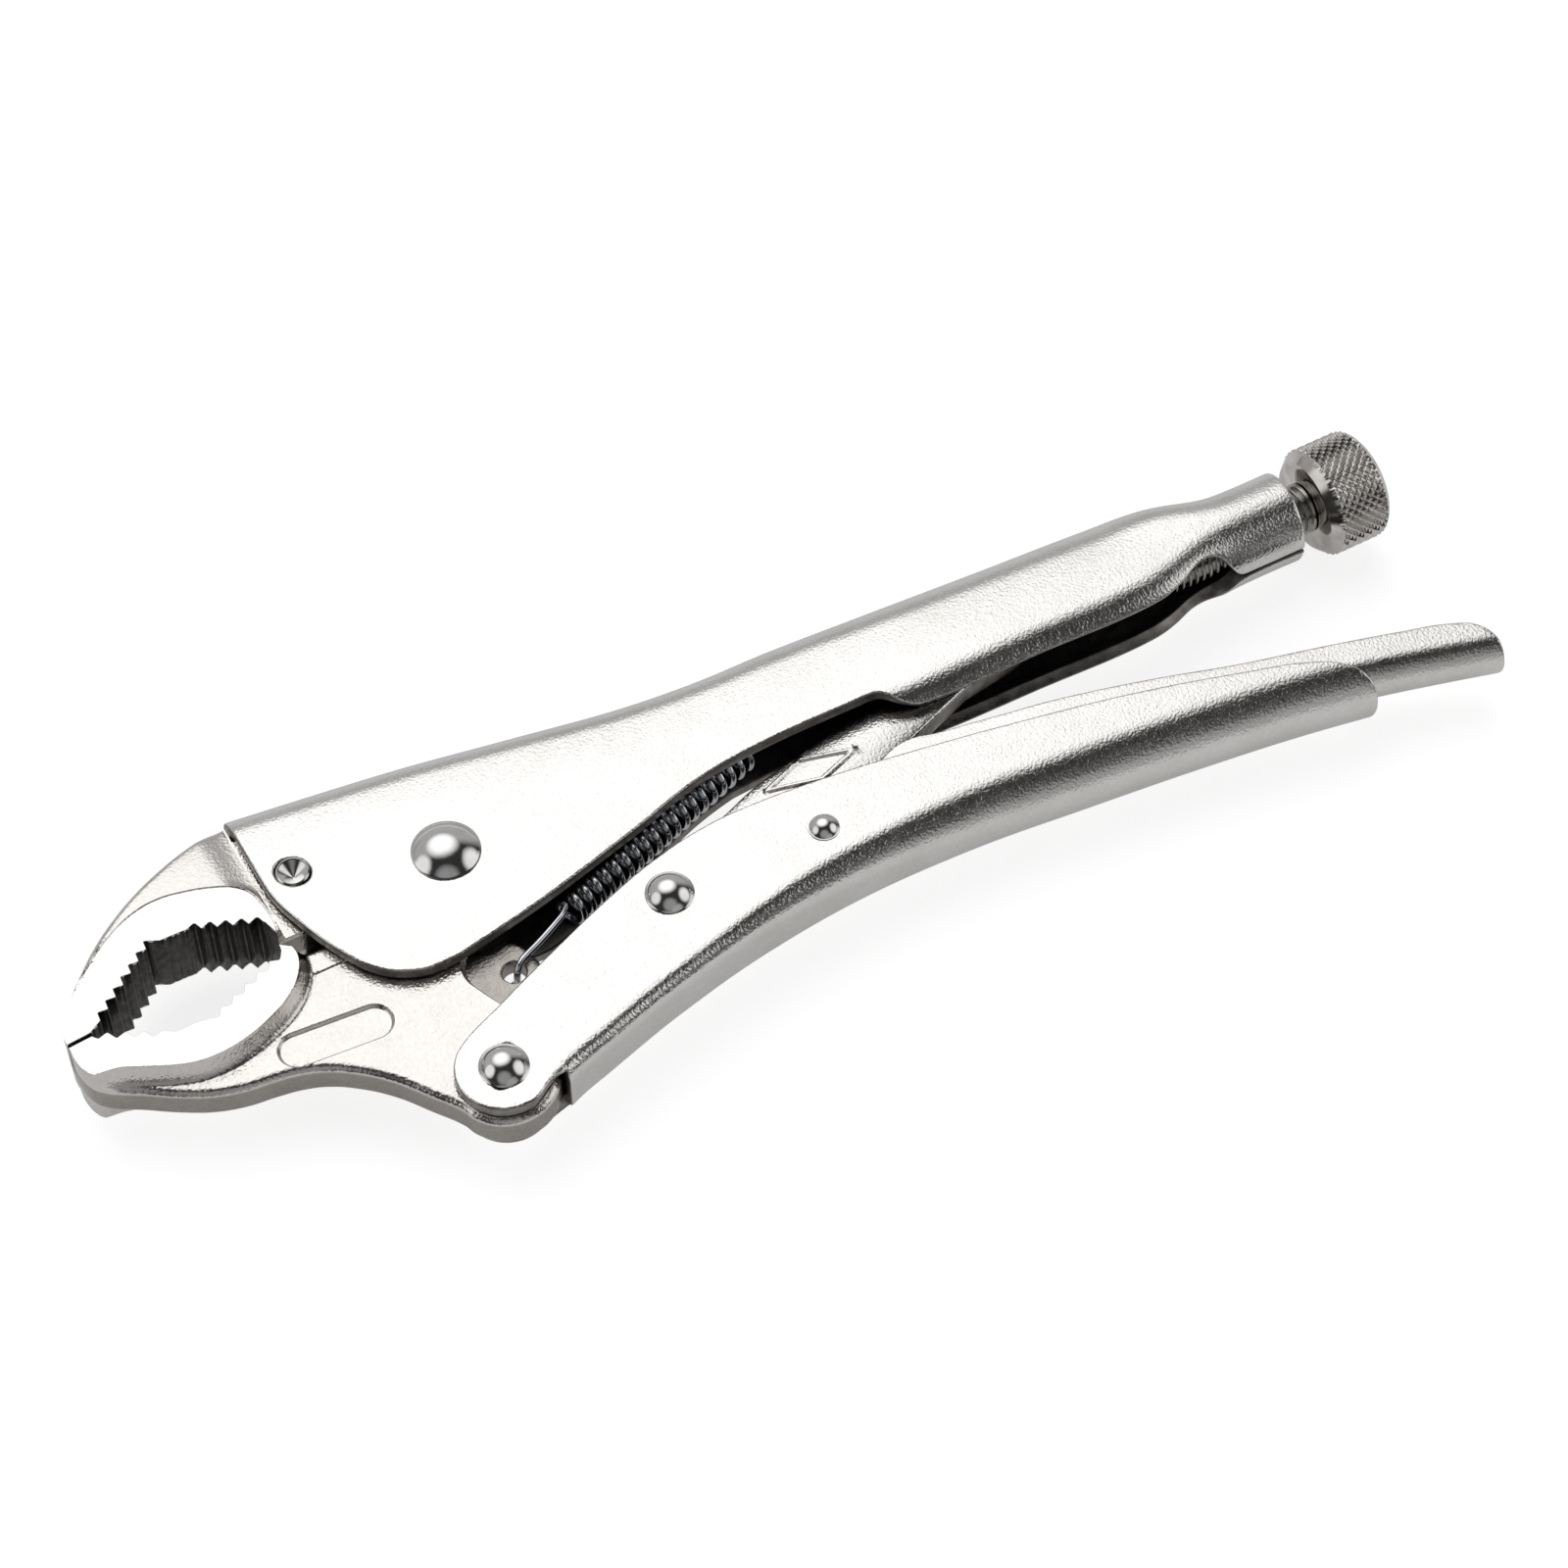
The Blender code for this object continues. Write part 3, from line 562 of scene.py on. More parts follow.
def broached_steel():
    """The serrations' walls: dark, with fine lines along the cut."""
    finish = Finish("broached_steel", (0.1, 0.1, 0.1), 0.34)
    lines = finish.noise(0.18, 3.0, (1, 1, 40))
    finish.colour(finish.spread(finish.noise(1.4, 3.0)), (0.055, 0.053, 0.05), (0.13, 0.125, 0.12))
    finish.roughness(finish.spread(lines, 0.26, 0.42))
    finish.bump((lines, 0.01))
    return finish.material


def polished_steel():
    """Burnished rivet heads with faint dents and handling marks."""
    finish = Finish("polished_steel", (0.78, 0.76, 0.74), 0.07)
    finish.colour(finish.spread(finish.noise(2.0, 4.0)), (0.80, 0.79, 0.78), (0.92, 0.91, 0.90))
    finish.roughness(finish.spread(finish.noise(0.7, 4.0), 0.05, 0.13))
    finish.bump((finish.noise(1.3, 2.0), 0.01), (finish.noise(0.1, 1.0), 0.0008))
    return finish.material


NICKEL = satin_nickel("satin_nickel", (0.82, 0.80, 0.77), (0.91, 0.89, 0.87))
# The forging gets painted shade on faces within about 2.3 mm of its middle plane.
FORGED = satin_nickel("forged_nickel", (0.74, 0.71, 0.68), (0.83, 0.80, 0.77), painted_shade_within=2.3)
# The inner faces of the channels and the tabs inside them: a dark finish that is painted shade, standing for
# the shade inside the channels.
INNER_SHADE = plain_metal("inner_painted_shade", (0.10, 0.10, 0.10), (0.20, 0.19, 0.18), 0.42, 0.3, 0.02)
CUT_EDGE = plain_metal("sheared_edge", (0.22, 0.20, 0.19), (0.42, 0.40, 0.38), 0.36, 0.3, 0.03)
GROUND = ground_steel()
BROACHED = broached_steel()
POLISHED = polished_steel()
KNURLED = plain_metal("knurled_steel", (0.60, 0.57, 0.54), (0.84, 0.81, 0.78), 0.1, 0.2, 0.004)
THREADED = plain_metal("threaded_steel", (0.34, 0.33, 0.31), (0.56, 0.54, 0.51), 0.16, 0.2, 0.005)
SPRING = plain_metal("spring_steel", (0.55, 0.57, 0.61), (0.82, 0.84, 0.88), 0.09, 0.2, 0.003)


# ---- pressed channels

LEAN_LENGTH = 10.0


class Channel:
    """A pressed channel's outer face, over x and the way s round the section from the back's middle.

    slim(x) is how much narrower the back is than a full round one: the sides lean in to meet it over
    their first LEAN_LENGTH millimetres.
    """

    def __init__(self, back, half, corner, wall, up, curl_from=None, slim=None):
        self.back, self.half, self.corner, self.wall = back, half, corner, wall
        self.way = 1.0 if up else -1.0
        self.curl_from, self.slim = curl_from, slim

    def sizes(self, x):
        half = self.half(x)
        corner = np.minimum(self.corner(x), half)
        bend_start = half - corner
        side_start = bend_start + corner * math.pi / 2
        return half, corner, bend_start, side_start

    def side_length(self, x):
        """How long the straight side is before it curls in."""
        if self.curl_from is None:
            return 1000.0
        corner = self.sizes(x)[1]
        return self.way * (self.back(x) - self.curl_from(x)) - corner

    def unroll(self, x, y):
        """The s at which the near side's outer face is at that y."""
        _, corner, bend_start, side_start = self.sizes(x)
        fall = self.way * (self.back(x) - y)
        angle = np.arccos(np.clip(1 - fall / corner, -1, 1))
        return np.where(fall < corner, bend_start + corner * angle, side_start + fall - corner)

    def face(self, x, s):
        """The outer face's y and z, and its normal's y and z."""
        half, corner, bend_start, side_start = self.sizes(x)
        back, way = self.back(x), self.way
        side = np.where(s < 0, -1.0, 1.0)
        reach = np.abs(s)
        angle = np.clip((reach - bend_start) / corner, 0, math.pi / 2)
        down = np.maximum(reach - side_start, 0)
        straight = np.minimum(down, self.side_length(x))
        curl = (down - straight) / half
        y = back - way * (corner * (1 - np.cos(angle)) + straight + half * np.sin(curl))
        z = np.minimum(reach, bend_start) + corner * np.sin(angle) - half * (1 - np.cos(curl))
        if self.slim:
            lean = np.clip((side_start + LEAN_LENGTH - reach) / (side_start + LEAN_LENGTH), 0, 1)
            z = z * (1 - self.slim(x) * lean**2)
        turn = angle + curl
        return y, z * side, way * np.cos(turn), np.sin(turn) * side


def both_sides(near, far):
    """A closed (x, s) loop from its near half, front middle to rear middle, and the far half."""
    behind = np.column_stack([far[:, 0], -far[:, 1]])[::-1]
    return wound(filled(np.vstack([near, behind]), 0.6))


def make_channel(name, channel, loop, holes, body, edge=0.45, rows=4, step=0.7):
    """A channel over its closed (x, s) loop, with (centre, radius) holes; edge is its edges' radius."""
    loops = [loop]
    for (x, y), radius in holes:
        s = float(channel.unroll(x, y))
        loops += [circle((x, s), radius), circle((x, -s), radius)]
    corners, faces, gap = region(loops, rounding_rows(edge, rows), step, stretch=1.6)
    x, s = corners.T
    y, z, across_y, across_z = channel.face(x, s)
    face = np.column_stack([x, y, z])
    across = np.column_stack([np.zeros_like(x), across_y, across_z])
    drop = edge_drop(gap, edge)
    outer = face - across * drop[:, None]
    inner = face - across * (channel.wall(x) - drop)[:, None]
    points, solid, kinds = sheet(corners, faces, outer, inner)
    rounded = np.tile(gap[faces].mean(axis=1) < 0.4 * edge, 2)
    kinds[: len(rounded)][rounded] = RIM
    # Outer faces take the nickel, the inner faces the dark painted shade, and the edges the sheared-edge
    # finish.
    add_piece(name, points, solid, [NICKEL, INNER_SHADE, CUT_EDGE], body, [body], kinds)


# ---- fixed handle

FIXED_BACK = smooth_line(
    [(-31, 27.1), (0, 22.9), (20, 19.3), (40, 15.7), (55, 14.2), (70, 13.8), (90, 12.5), (110, 11.2),
     (135, 9.7), (144, 8.4), (154, 5.2), (159, 4.6), (171, 4.5)]
)
FIXED_SIDE_END = smooth_line(
    [(-31, -22.0), (-15, -21.6), (-7, -20.0), (10, -16.8), (30, -11.8), (45, -7.7), (60, -6.4), (78, -6.8),
     (90, -7.1), (110, -7.3), (135, -7.6), (152, -4.2), (171, -4.0)]
)
FIXED_HALF = smooth_line([(-31, 6.2), (40, 6.2), (70, 6.7), (95, 7.7), (135, 8.0), (155, 8.45), (171, 8.5)])
FAR_DROP = smooth_line([(-10, 0), (0, 1.2), (9, 3.6), (18, 3.0), (30, 2.2), (40, 1.3), (52, 0)])
FRONT_EDGE = [
    (-30.2, 40, CORNER), (-30.2, 12, CORNER), (-29.9, 6), (-28.3, 0), (-24.2, -10), (-20.5, -15.6),
    (-16.5, -18.6), (-11.5, -20.1), (-7.0, -20.0, CORNER), (-7.0, 40, CORNER),
]
LIP_CURL = smooth_line(
    [(79, 0.0), (81, 4.0), (84, 32.0), (87, 45.0), (110, 45.0), (136, 45.0), (141, 41.0), (146, 34.0),
     (150, 44.0), (153, 78.0), (155, 86.5), (171, 86.5)]
)


LIP_START_X = 79.0
TUBE_END_X = 169.4


def fixed_wall(x):
    return SHEET + (TUBE_RADIUS - BORE_RADIUS - SHEET) * ramp(x, 146, 156)


def fixed_curl_from(x):
    return np.where(x < LIP_START_X, -60.0, FIXED_SIDE_END(x))


def fixed_slim(x):
    return 0.36 * (1 - ramp(x, 132, 150))


FIXED = Channel(FIXED_BACK, FIXED_HALF, FIXED_HALF, fixed_wall, True, fixed_curl_from, fixed_slim)


def fixed_half_loop(drop):
    """Half of the fixed handle's (x, s) outline: front edge, lower edge, lip and the tube's end."""
    front = outline(FRONT_EDGE)
    edge = front[(front[:, 0] < -7.2) & (front[:, 1] < FIXED_BACK(front[:, 0]) - 0.3)]
    edge = edge[np.argsort(-edge[:, 1])]
    edge = edge[(edge[:, 0] < -11.5) | (edge[:, 1] < -10)]
    x, y = edge.T
    head = np.column_stack([x, FIXED.unroll(x, y)])
    x = np.arange(-6.6, LIP_START_X, 0.5)
    low = FIXED_SIDE_END(x) - drop(x)
    lower = np.column_stack([x, FIXED.unroll(x, low)])
    x = np.arange(LIP_START_X + 0.5, TUBE_END_X - 0.2, 0.4)
    side_start = FIXED.sizes(x)[3]
    lip = side_start + FIXED.side_length(x) + FIXED.half(x) * np.radians(LIP_CURL(x))
    lips = np.column_stack([x, lip])
    s = np.linspace(lip[-1], 0, 30)
    y = FIXED.face(np.full(30, TUBE_END_X - 0.4), s)[0]
    end = np.column_stack([TUBE_END_X - (12 - y) / 14, s])
    lips = lips[lips[:, 0] < end[0, 0] - 0.4]
    return np.vstack([[(-30.2, 0.0)], head, lower, lips, end])


def make_fixed_handle():
    loop = both_sides(fixed_half_loop(np.zeros_like), fixed_half_loop(FAR_DROP))
    holes = [(JAW_PIVOT, JAW_PIVOT_HOLE), (STAKE_PIN, STAKE_HOLE)]
    make_channel("fixed_handle_shell", FIXED, loop, holes, "fixed_handle")


# ---- moving handle

MOVING_BACK = smooth_line(
    [(-22, -62.0), (-8, -53.5), (-1.5, -49.6), (7.5, -46.8), (22.5, -42.7), (42.5, -38.9), (62.5, -37.6),
     (83, -38.6), (103.5, -40.9), (124, -43.2), (144, -45.9), (161, -48.9)]
)
MOVING_HALF = smooth_line([(-22, 6.2), (30, 6.3), (48, 7.0), (100, 7.6), (161, 7.7)])
MOVING_CORNER = smooth_line([(-22, 3.0), (30, 3.2), (60, 5.2), (95, 7.4), (161, 7.7)])
EAR_RADIUS = 8.3
FAR_EAR_RADIUS = 7.6
MOVING_EDGE = (
    [(-5, -31.6), (10, -25.5), (20, -21.8), (30, -18.8), (40, -17.2), (50, -17.2), (65, -18.7),
     (80, -21.1), (100, -24.9), (120, -29.3), (140, -35.0), (150, -38.3), (155.6, -41.6), (158.6, -45.4),
     (159.4, -49.5), (159.4, -60, CORNER), (-1.8, -60, CORNER), (-1.8, -48.6, CORNER), (-4.8, -49.1)]
)
MOVING = Channel(MOVING_BACK, MOVING_HALF, MOVING_CORNER, lambda x: SHEET, False)


def channel_half_loop(channel, points, front_x):
    """Half of a channel's (x, s) outline from its side view, whose closed line passes below the back."""
    loop = outline(points)
    shown = longest_run(loop, loop[:, 1] > channel.back(loop[:, 0]) + 0.05)
    x, y = (shown[::-1] if shown[0, 0] > shown[-1, 0] else shown).T
    return np.vstack([[(front_x, 0.0)], np.column_stack([x, channel.unroll(x, y)]), [(x[-1], 0.0)]])


def make_moving_handle():
    near, far = [
        channel_half_loop(MOVING, arc(HANDLE_PIVOT, radius, 285, 128, 10) + MOVING_EDGE, -1.8)
        for radius in (EAR_RADIUS, FAR_EAR_RADIUS)
    ]
    holes = [(HANDLE_PIVOT, PIVOT_HOLE), (TOGGLE_PIVOT, PIVOT_HOLE), (RELEASE_PIVOT, RELEASE_HOLE)]
    make_channel("moving_handle_channel", MOVING, both_sides(near, far), holes, "moving_handle")


# ---- release lever

LEVER_BACK = smooth_line(
    [(50, -34.0), (70, -34.2), (88, -35.2), (104, -37.4), (124, -39.6), (144, -42.2), (154, -44.1),
     (164, -46.5), (174, -49.2), (186, -52.6)]
)
LEVER_HALF_WIDTH = smooth_line([(50, LEVER_HALF), (72, LEVER_HALF), (92, 4.6), (110, 4.9), (186, 4.9)])
LEVER_OUTLINE = (
    arc(RELEASE_PIVOT, 5.6, 265, 95, 8)
    + [(66, -21.6), (71, -20.0), (75.3, -18.2), (79, -16.9), (82.4, -16.9), (86.4, -18.0), (92.8, -19.2),
       (100, -20.6), (107, -21.9), (125, -26.5), (140, -31.1), (155, -35.0),
       (170, -39.2), (178, -41.7), (182.6, -44.4), (184.2, -48.4), (184.0, -52.0), (182.5, -58, CORNER),
       (86.5, -58, CORNER), (86.5, -33.6, CORNER), (70, -33.0)]
)
LEVER = Channel(LEVER_BACK, LEVER_HALF_WIDTH, LEVER_HALF_WIDTH, lambda x: LEVER_SHEET, False)
PUSHER_X = 87.0


def make_release_lever():
    half = channel_half_loop(LEVER, LEVER_OUTLINE, 86.5)
    holes = [(RELEASE_PIVOT, RELEASE_HOLE)]
    make_channel("release_lever_channel", LEVER, both_sides(half, half), holes, "release_lever",
                 edge=0.35, rows=3, step=0.6)


# ---- jaws

UPPER_MOUTH = (
    [(-71.8, -5.0, CORNER), (-67.6, -4.7, CORNER)]
    + teeth((-66.9, -3.2), (-52.6, 7.6), 7, -1.1)[1:]
    + [(-50.2, 6.4, CORNER), (-46.4, 6.3, CORNER)]
    + teeth((-45.4, 6.2), (-33.2, 1.2), 5, 1.1)
    + [(-32.3, -1.7, CORNER)]
)
UPPER_PAD = UPPER_MOUTH + [
    (-32.0, 1.5), (-32.4, 5.0), (-33.2, 8.0), (-35.2, 10.2), (-38.5, 11.9), (-42.5, 13.2), (-47, 14.0),
    (-52, 13.4), (-58, 10.7), (-64, 6.3), (-68.2, 2.7), (-70.7, 0.2), (-71.7, -2.6),
]
UPPER_SPINE = [
    (-30.8, 24.2, CORNER), (-35, 23.4), (-40, 22.0), (-45, 20.1), (-50, 17.8), (-55, 14.9), (-60, 11.3),
    (-65, 6.6), (-68.2, 2.7), (-70.7, 0.2), (-71.7, -2.6), (-71.8, -5.0, CORNER),
]
UPPER_TANG = (
    [(-30.4, -1.2, CORNER), (-28, -1.2, CORNER)]
    + [(x, y, CORNER) for x, y in arc(JAW_PIVOT, 11.9, 182, 84, 14)]
    + [(1.5, 15.6, CORNER), (-16, 18.2, CORNER), (-30, 20.6, CORNER), (-30.8, 21.2, CORNER)]
)
LOWER_MOUTH = (
    [(-33.0, -3.9, CORNER)]
    + teeth((-33.2, -5.2), (-49.4, -11.6), 6, 1.0)
    + [(-51, -11.2, CORNER), (-55, -11.2, CORNER)]
    + teeth((-56.0, -11.6), (-66.9, -6.2), 4, -1.0)[1:]
    + [(-67.6, -5.35, CORNER), (-71.8, -5.6, CORNER)]
)
LOWER_PAD = LOWER_MOUTH + [
    (-71.9, -8.0), (-71.0, -11.4), (-70.2, -12.4, CORNER), (-66, -13.1), (-62, -15.0), (-58, -16.9),
    (-54.5, -18.1), (-50, -18.5), (-45, -17.8), (-40, -16.1), (-36, -14.0), (-33, -11.2), (-31.3, -8.0),
    (-31.2, -5.8), (-31.9, -4.3),
]
LOWER_OUTER = (
    [(-71.9, -8.0), (-71.2, -11.4), (-70.0, -13.2), (-64, -17.3), (-59, -20.6), (-54, -23.2), (-49, -24.7),
     (-44, -25.4), (-40, -26.2), (-36, -27.7), (-31.5, -30.7), (-27, -35.0), (-23, -40.4)]
    + arc(HANDLE_PIVOT, 9.3, 195, 340, 10)
    + [(1.7, -38), (4.2, -32), (5.1, -26), (4.8, -23), (4.2, -20.6), (2.9, -18.8), (1.0, -18.2),
       (-1.6, -18.6), (-2.6, -15.5), (0.5, -12.8), (4.2, -11.6)]
    + arc(JAW_PIVOT, 11.0, -55, 172, 14)
    + [(-11.2, 0.5, CORNER), (-14.5, -3.6), (-20, -4.9), (-31, -5.4, CORNER)]
)
SPRING_SEAT = [
    (-3.6, -16, CORNER), (-6.6, -19.4), (-7.6, -22.6), (-6.4, -26.5), (-4.3, -31, CORNER), (10, -31, CORNER),
    (10, -16, CORNER),
]
PLAQUE_ENDS = ((-38.3, -22.0), (-25.0, -23.2))
PLAQUE_RADIUS = 3.15
PLAQUE_DEPTH = 0.7
HUB_STEP_Y = -10.1
HUB_STEP = 0.2
TANG_FRONT = -31.325
TANG_STEP = 0.35


def rounded_max(a, b, fillet):
    """The higher of two surfaces, with a fillet where they meet."""
    share = np.maximum(fillet - np.abs(a - b), 0) / fillet
    return np.maximum(a, b) + share * share * fillet / 4


def signed(points, loop):
    """Distance outside a closed loop, negative inside it."""
    away = distance(points, loop)
    return np.where(within(points, loop), -away, away)


def upper_height(points, mouth, pad, spine):
    """Half the upper jaw's thickness: a ground pad in a crowned forging, and the tang in the handle."""
    x = points[:, 0]
    outside = np.maximum(signed(points, pad), 0.0)
    to_spine = distance(points, spine, closed=False)
    body = 6.9 - 0.03 * outside - 0.006 * outside**2
    body -= edge_drop(to_spine, 1.3) * ramp(outside, 0.0, 0.9)
    body -= 1.0 * ramp(x, -37.0, -31.4) * ramp(outside, 0.0, 1.6)
    body -= 0.25 * (1 - ramp(outside, 0.15, 0.45))
    tang = np.clip((x - TANG_FRONT) / TANG_STEP + 0.5, 0.0, 1.0)
    height = body + (WEB_HALF - body) * tang
    height = np.where(outside <= 0, PAD_HALF, height)
    return height - edge_drop(distance(points, mouth, closed=False), 0.12)


def lower_height(points, mouth, pad, outer, seat):
    """Half the lower jaw's thickness: a ground pad that falls in a fillet to the web, and the lug."""
    outside = np.maximum(signed(points, pad), 0.0)
    to_outer = distance(points, outer, closed=False)
    wall = PAD_HALF - 3.0 * outside
    web = WEB_HALF - HUB_STEP / 2 + HUB_STEP * ramp(points[:, 1], HUB_STEP_Y - 0.15, HUB_STEP_Y + 0.15)
    web -= (WEB_HALF - SPRING_SEAT_HALF) * ramp(-signed(points, seat), -0.35, 0.35)
    to_plaque = distance(points, np.array(PLAQUE_ENDS), closed=False) - PLAQUE_RADIUS
    web -= PLAQUE_DEPTH * ramp(-to_plaque, -0.4, 0.2)
    height = rounded_max(wall, web, 2.6)
    height = np.where(outside <= 0, PAD_HALF, height)
    height -= edge_drop(to_outer, 0.25 + 1.25 * ramp(outside, 0.6, 2.6))
    return height - edge_drop(distance(points, mouth, closed=False), 0.12)


def make_jaw(name, body, loops, rows, features, half_height, pad, serrations):
    """A forged jaw with ground flanks and dark serrations; half_height gives half its thickness."""
    corners, faces, _ = region(loops, rows, 0.8, features)
    points, solid, kinds = slab(corners, faces, half_height(corners))
    picks = np.zeros(len(kinds), int)
    ground = (signed(corners, pad)[faces] < 0.001).all(axis=1)
    picks[: 2 * len(faces)][np.tile(ground, 2)] = 1
    rim = np.flatnonzero(kinds == RIM)
    spots = corners[[solid[i][0] for i in rim]]
    picks[rim[distance(spots, serrations, closed=False) < 0.15]] = 2
    add_piece(name + "_forging", points, solid, [FORGED, GROUND, BROACHED], body, [name],
              picks, sharp=32)


def make_upper_jaw():
    whole = UPPER_MOUTH + [(-32.3, -1.2, CORNER)] + UPPER_TANG + UPPER_SPINE[:-1]
    loop = outline(whole, longest=0.5)
    pad = outline(UPPER_PAD, longest=0.5)
    mouth = filled(np.array([p[:2] for p in UPPER_MOUTH]), 0.5, closed=False)
    far_above = [(x, y + 200.0, CORNER) for x, y, _ in (UPPER_SPINE[-1], UPPER_SPINE[0])]
    spine = outline(UPPER_SPINE + far_above)
    spine = longest_run(spine, spine[:, 1] < UPPER_SPINE[0][1] + 0.01)
    front = filled(np.array([(TANG_FRONT, 24.0), (TANG_FRONT, -1.1)]), 0.5, closed=False)
    features = [
        (front, (-TANG_STEP / 2, TANG_STEP / 2), False),
        (pad, (0.02, -0.04, -0.16, -0.3, -0.45, -0.8, -1.2, -1.6), True),
    ]
    rows = (0.04, 0.12, 0.3, 0.55, 0.85, 1.2)
    make_jaw("upper_jaw", "fixed_handle", [loop, circle(STAKE_PIN, STAKE_HOLE)], rows, features,
             lambda corners: upper_height(corners, mouth, pad, spine), pad, mouth[3:])


def make_lower_jaw():
    loop = outline(LOWER_MOUTH + LOWER_OUTER, longest=0.5)
    pad = outline(LOWER_PAD, longest=0.5)
    mouth = filled(np.array([p[:2] for p in LOWER_MOUTH]), 0.5, closed=False)
    outer = longest_run(loop, distance(loop, mouth, closed=False) > 0.3)
    seat = outline(SPRING_SEAT, longest=0.5)
    step = filled(np.array([(-34.0, HUB_STEP_Y), (8.0, HUB_STEP_Y)]), 0.5, closed=False)
    spring_hole = circle(SPRING_HOLE, SPRING_HOLE_RADIUS)
    features = [
        (pad, (0.02, -0.02, -0.25, -0.5, -0.75, -1.0, -1.25, -1.55, -1.9, -2.3), True),
        (seat, (-0.4, -0.2, 0.0, 0.2, 0.4), True),
        (plaque_line(), (-0.4, -0.25, -0.1, 0.05, 0.2), True),
        (step, (-0.15, 0.0, 0.15), False),
    ]
    holes = [circle(JAW_PIVOT, JAW_PIVOT_HOLE), circle(HANDLE_PIVOT, PIVOT_HOLE), spring_hole]
    rows = (0.04, 0.12, 0.3, 0.55, 0.9, 1.25, 1.65)

    def half_height(corners):
        height = lower_height(corners, mouth, pad, outer, seat)
        return height - edge_drop(distance(corners, spring_hole), 0.3)

    make_jaw("lower_jaw", "lower_jaw", [loop] + holes, rows, features, half_height, pad, mouth[:-8])


def plaque_line():
    """The plaque's oval outline."""
    (ax, ay), (bx, by) = PLAQUE_ENDS
    angle = math.degrees(math.atan2(by - ay, bx - ax))
    points = arc((bx, by), PLAQUE_RADIUS, angle - 90, angle + 90, 20)
    points += arc((ax, ay), PLAQUE_RADIUS, angle + 90, angle + 270, 20)
    return wound(filled(np.array(points), 0.4))


# ---- toggle link

LINK_OUTLINE = (
    arc(TOGGLE_PIVOT, 6.6, 275, 105, 10)
    + [(34, -18.5), (41, -15.9), (47, -13.8), (53, -11.6), (60, -9.9), (70, -7.8), (85, -4.6), (97, -2.3)]
    + arc(LINK_TIP, 4.0, 80, -85, 7)
    + [(97, -10.7, CORNER), (81, -16.5, CORNER), (71, -20.0), (61, -22.2), (51, -24.6), (41, -29.4)]
)
EMBLEM = ((54.9, -13.6), (64.7, -16.1), (72.7, -13.4), (63.1, -10.5))
EMBLEM_HEIGHT = 0.45
LINK_CROWN = 0.7
LINK_CROWN_WIDTH = 5.5


def make_toggle_link():
    loop = outline(LINK_OUTLINE, longest=0.5)
    hole = circle(TOGGLE_PIVOT, PIVOT_HOLE)
    emblem = wound(filled(np.array(EMBLEM), 0.5))
    edge = 0.4
    features = [(emblem, (-0.6, -0.35, -0.15, 0.15, 0.35, 0.6), True)]
    corners, faces, gap = region([loop, hole], rounding_rows(edge), 1.0, features)
    crown = np.clip(1 - gap / LINK_CROWN_WIDTH, 0.0, 1.0)
    height = LINK_HALF - edge_drop(gap, edge) - LINK_CROWN * crown * crown
    top = height + EMBLEM_HEIGHT * (1 - ramp(distance(corners, emblem), 0.15, 0.6))
    points, solid, kinds = slab(corners, faces, top, height)
    add_piece("toggle_link_bar", points, solid, [NICKEL, CUT_EDGE], "toggle_link",
              ["toggle_link"], kinds == RIM)


# ---- rivets, pin, screw, knob


def add_turned(name, half, place, body, node, sharp=38):
    """A burnished piece turned round Z from its upper half's (radius, height) points, from the axis out.

    The points on the axis lie on one another until add_piece welds them.
    """
    sides = 96
    profile = half + [(radius, -z) for radius, z in reversed(half)]
    points = [(x, y, z) for radius, z in profile for x, y in arc(place, radius, 0, 360, sides)[:-1]]
    add_piece(name, points, walls(len(profile), sides), [POLISHED], body, [node],
              sharp=sharp)


def make_rivet(name, place, shank, head, height, seat, body):
    """A riveted pin with a burnished dome on both plates."""
    base = seat + 0.03
    ball = (head * head + height * height) / (2 * height)
    half_angle = math.degrees(math.asin(head / ball))
    dome = arc((0.0, base + height - ball), ball, 90, 90 - half_angle, 22)[:-1]
    lip = [(head + 0.06, base + 0.12), (head, base), (shank, base)]
    add_turned(name + "_dome", dome + lip, place, body, name)


def make_stake_pin():
    """A cross pin set flush with the plates and spread by a conical punch in each end."""
    end = PLATE_HALF + 0.05
    half = [(0.0, end - 2.1), (0.25, end - 2.0), (2.35, end - 0.05), (2.6, end + 0.05), (2.9, end - 0.12)]
    add_turned("punched_stake_pin", half, STAKE_PIN, "fixed_handle", "jaw_stake_pin", sharp=24)


def make_screw():
    """The adjusting screw with its real thread, which fades out just before the knob."""
    sides, per_turn = 48, 10
    length = KNOB_FRONT_X - 0.3 - SCREW_TIP_X
    rows = int(length / THREAD_PITCH * per_turn)
    points = []
    for i in range(rows + 1):
        along = length * i / rows
        x = SCREW_TIP_X + along
        taper = min(along / 1.6, 1.0)
        fade = float(ramp(length - along, 0.0, 1.2))
        for k in range(sides):
            share = along / THREAD_PITCH - k / sides
            wave = abs((share % 1.0) * 2 - 1)
            depth = THREAD_DEPTH * float(ramp(wave, 0.12, 0.88))
            radius = (THREAD_RADIUS - depth * fade) * (0.62 + 0.38 * taper)
            angle = 2 * math.pi * k / sides
            points.append((x, SCREW_Y + radius * math.cos(angle), radius * math.sin(angle)))
    add_piece("adjusting_screw_thread", points, walls(rows + 1, sides, capped=True), [THREADED],
              "adjusting_screw", ["adjusting_screw"], sharp=50)


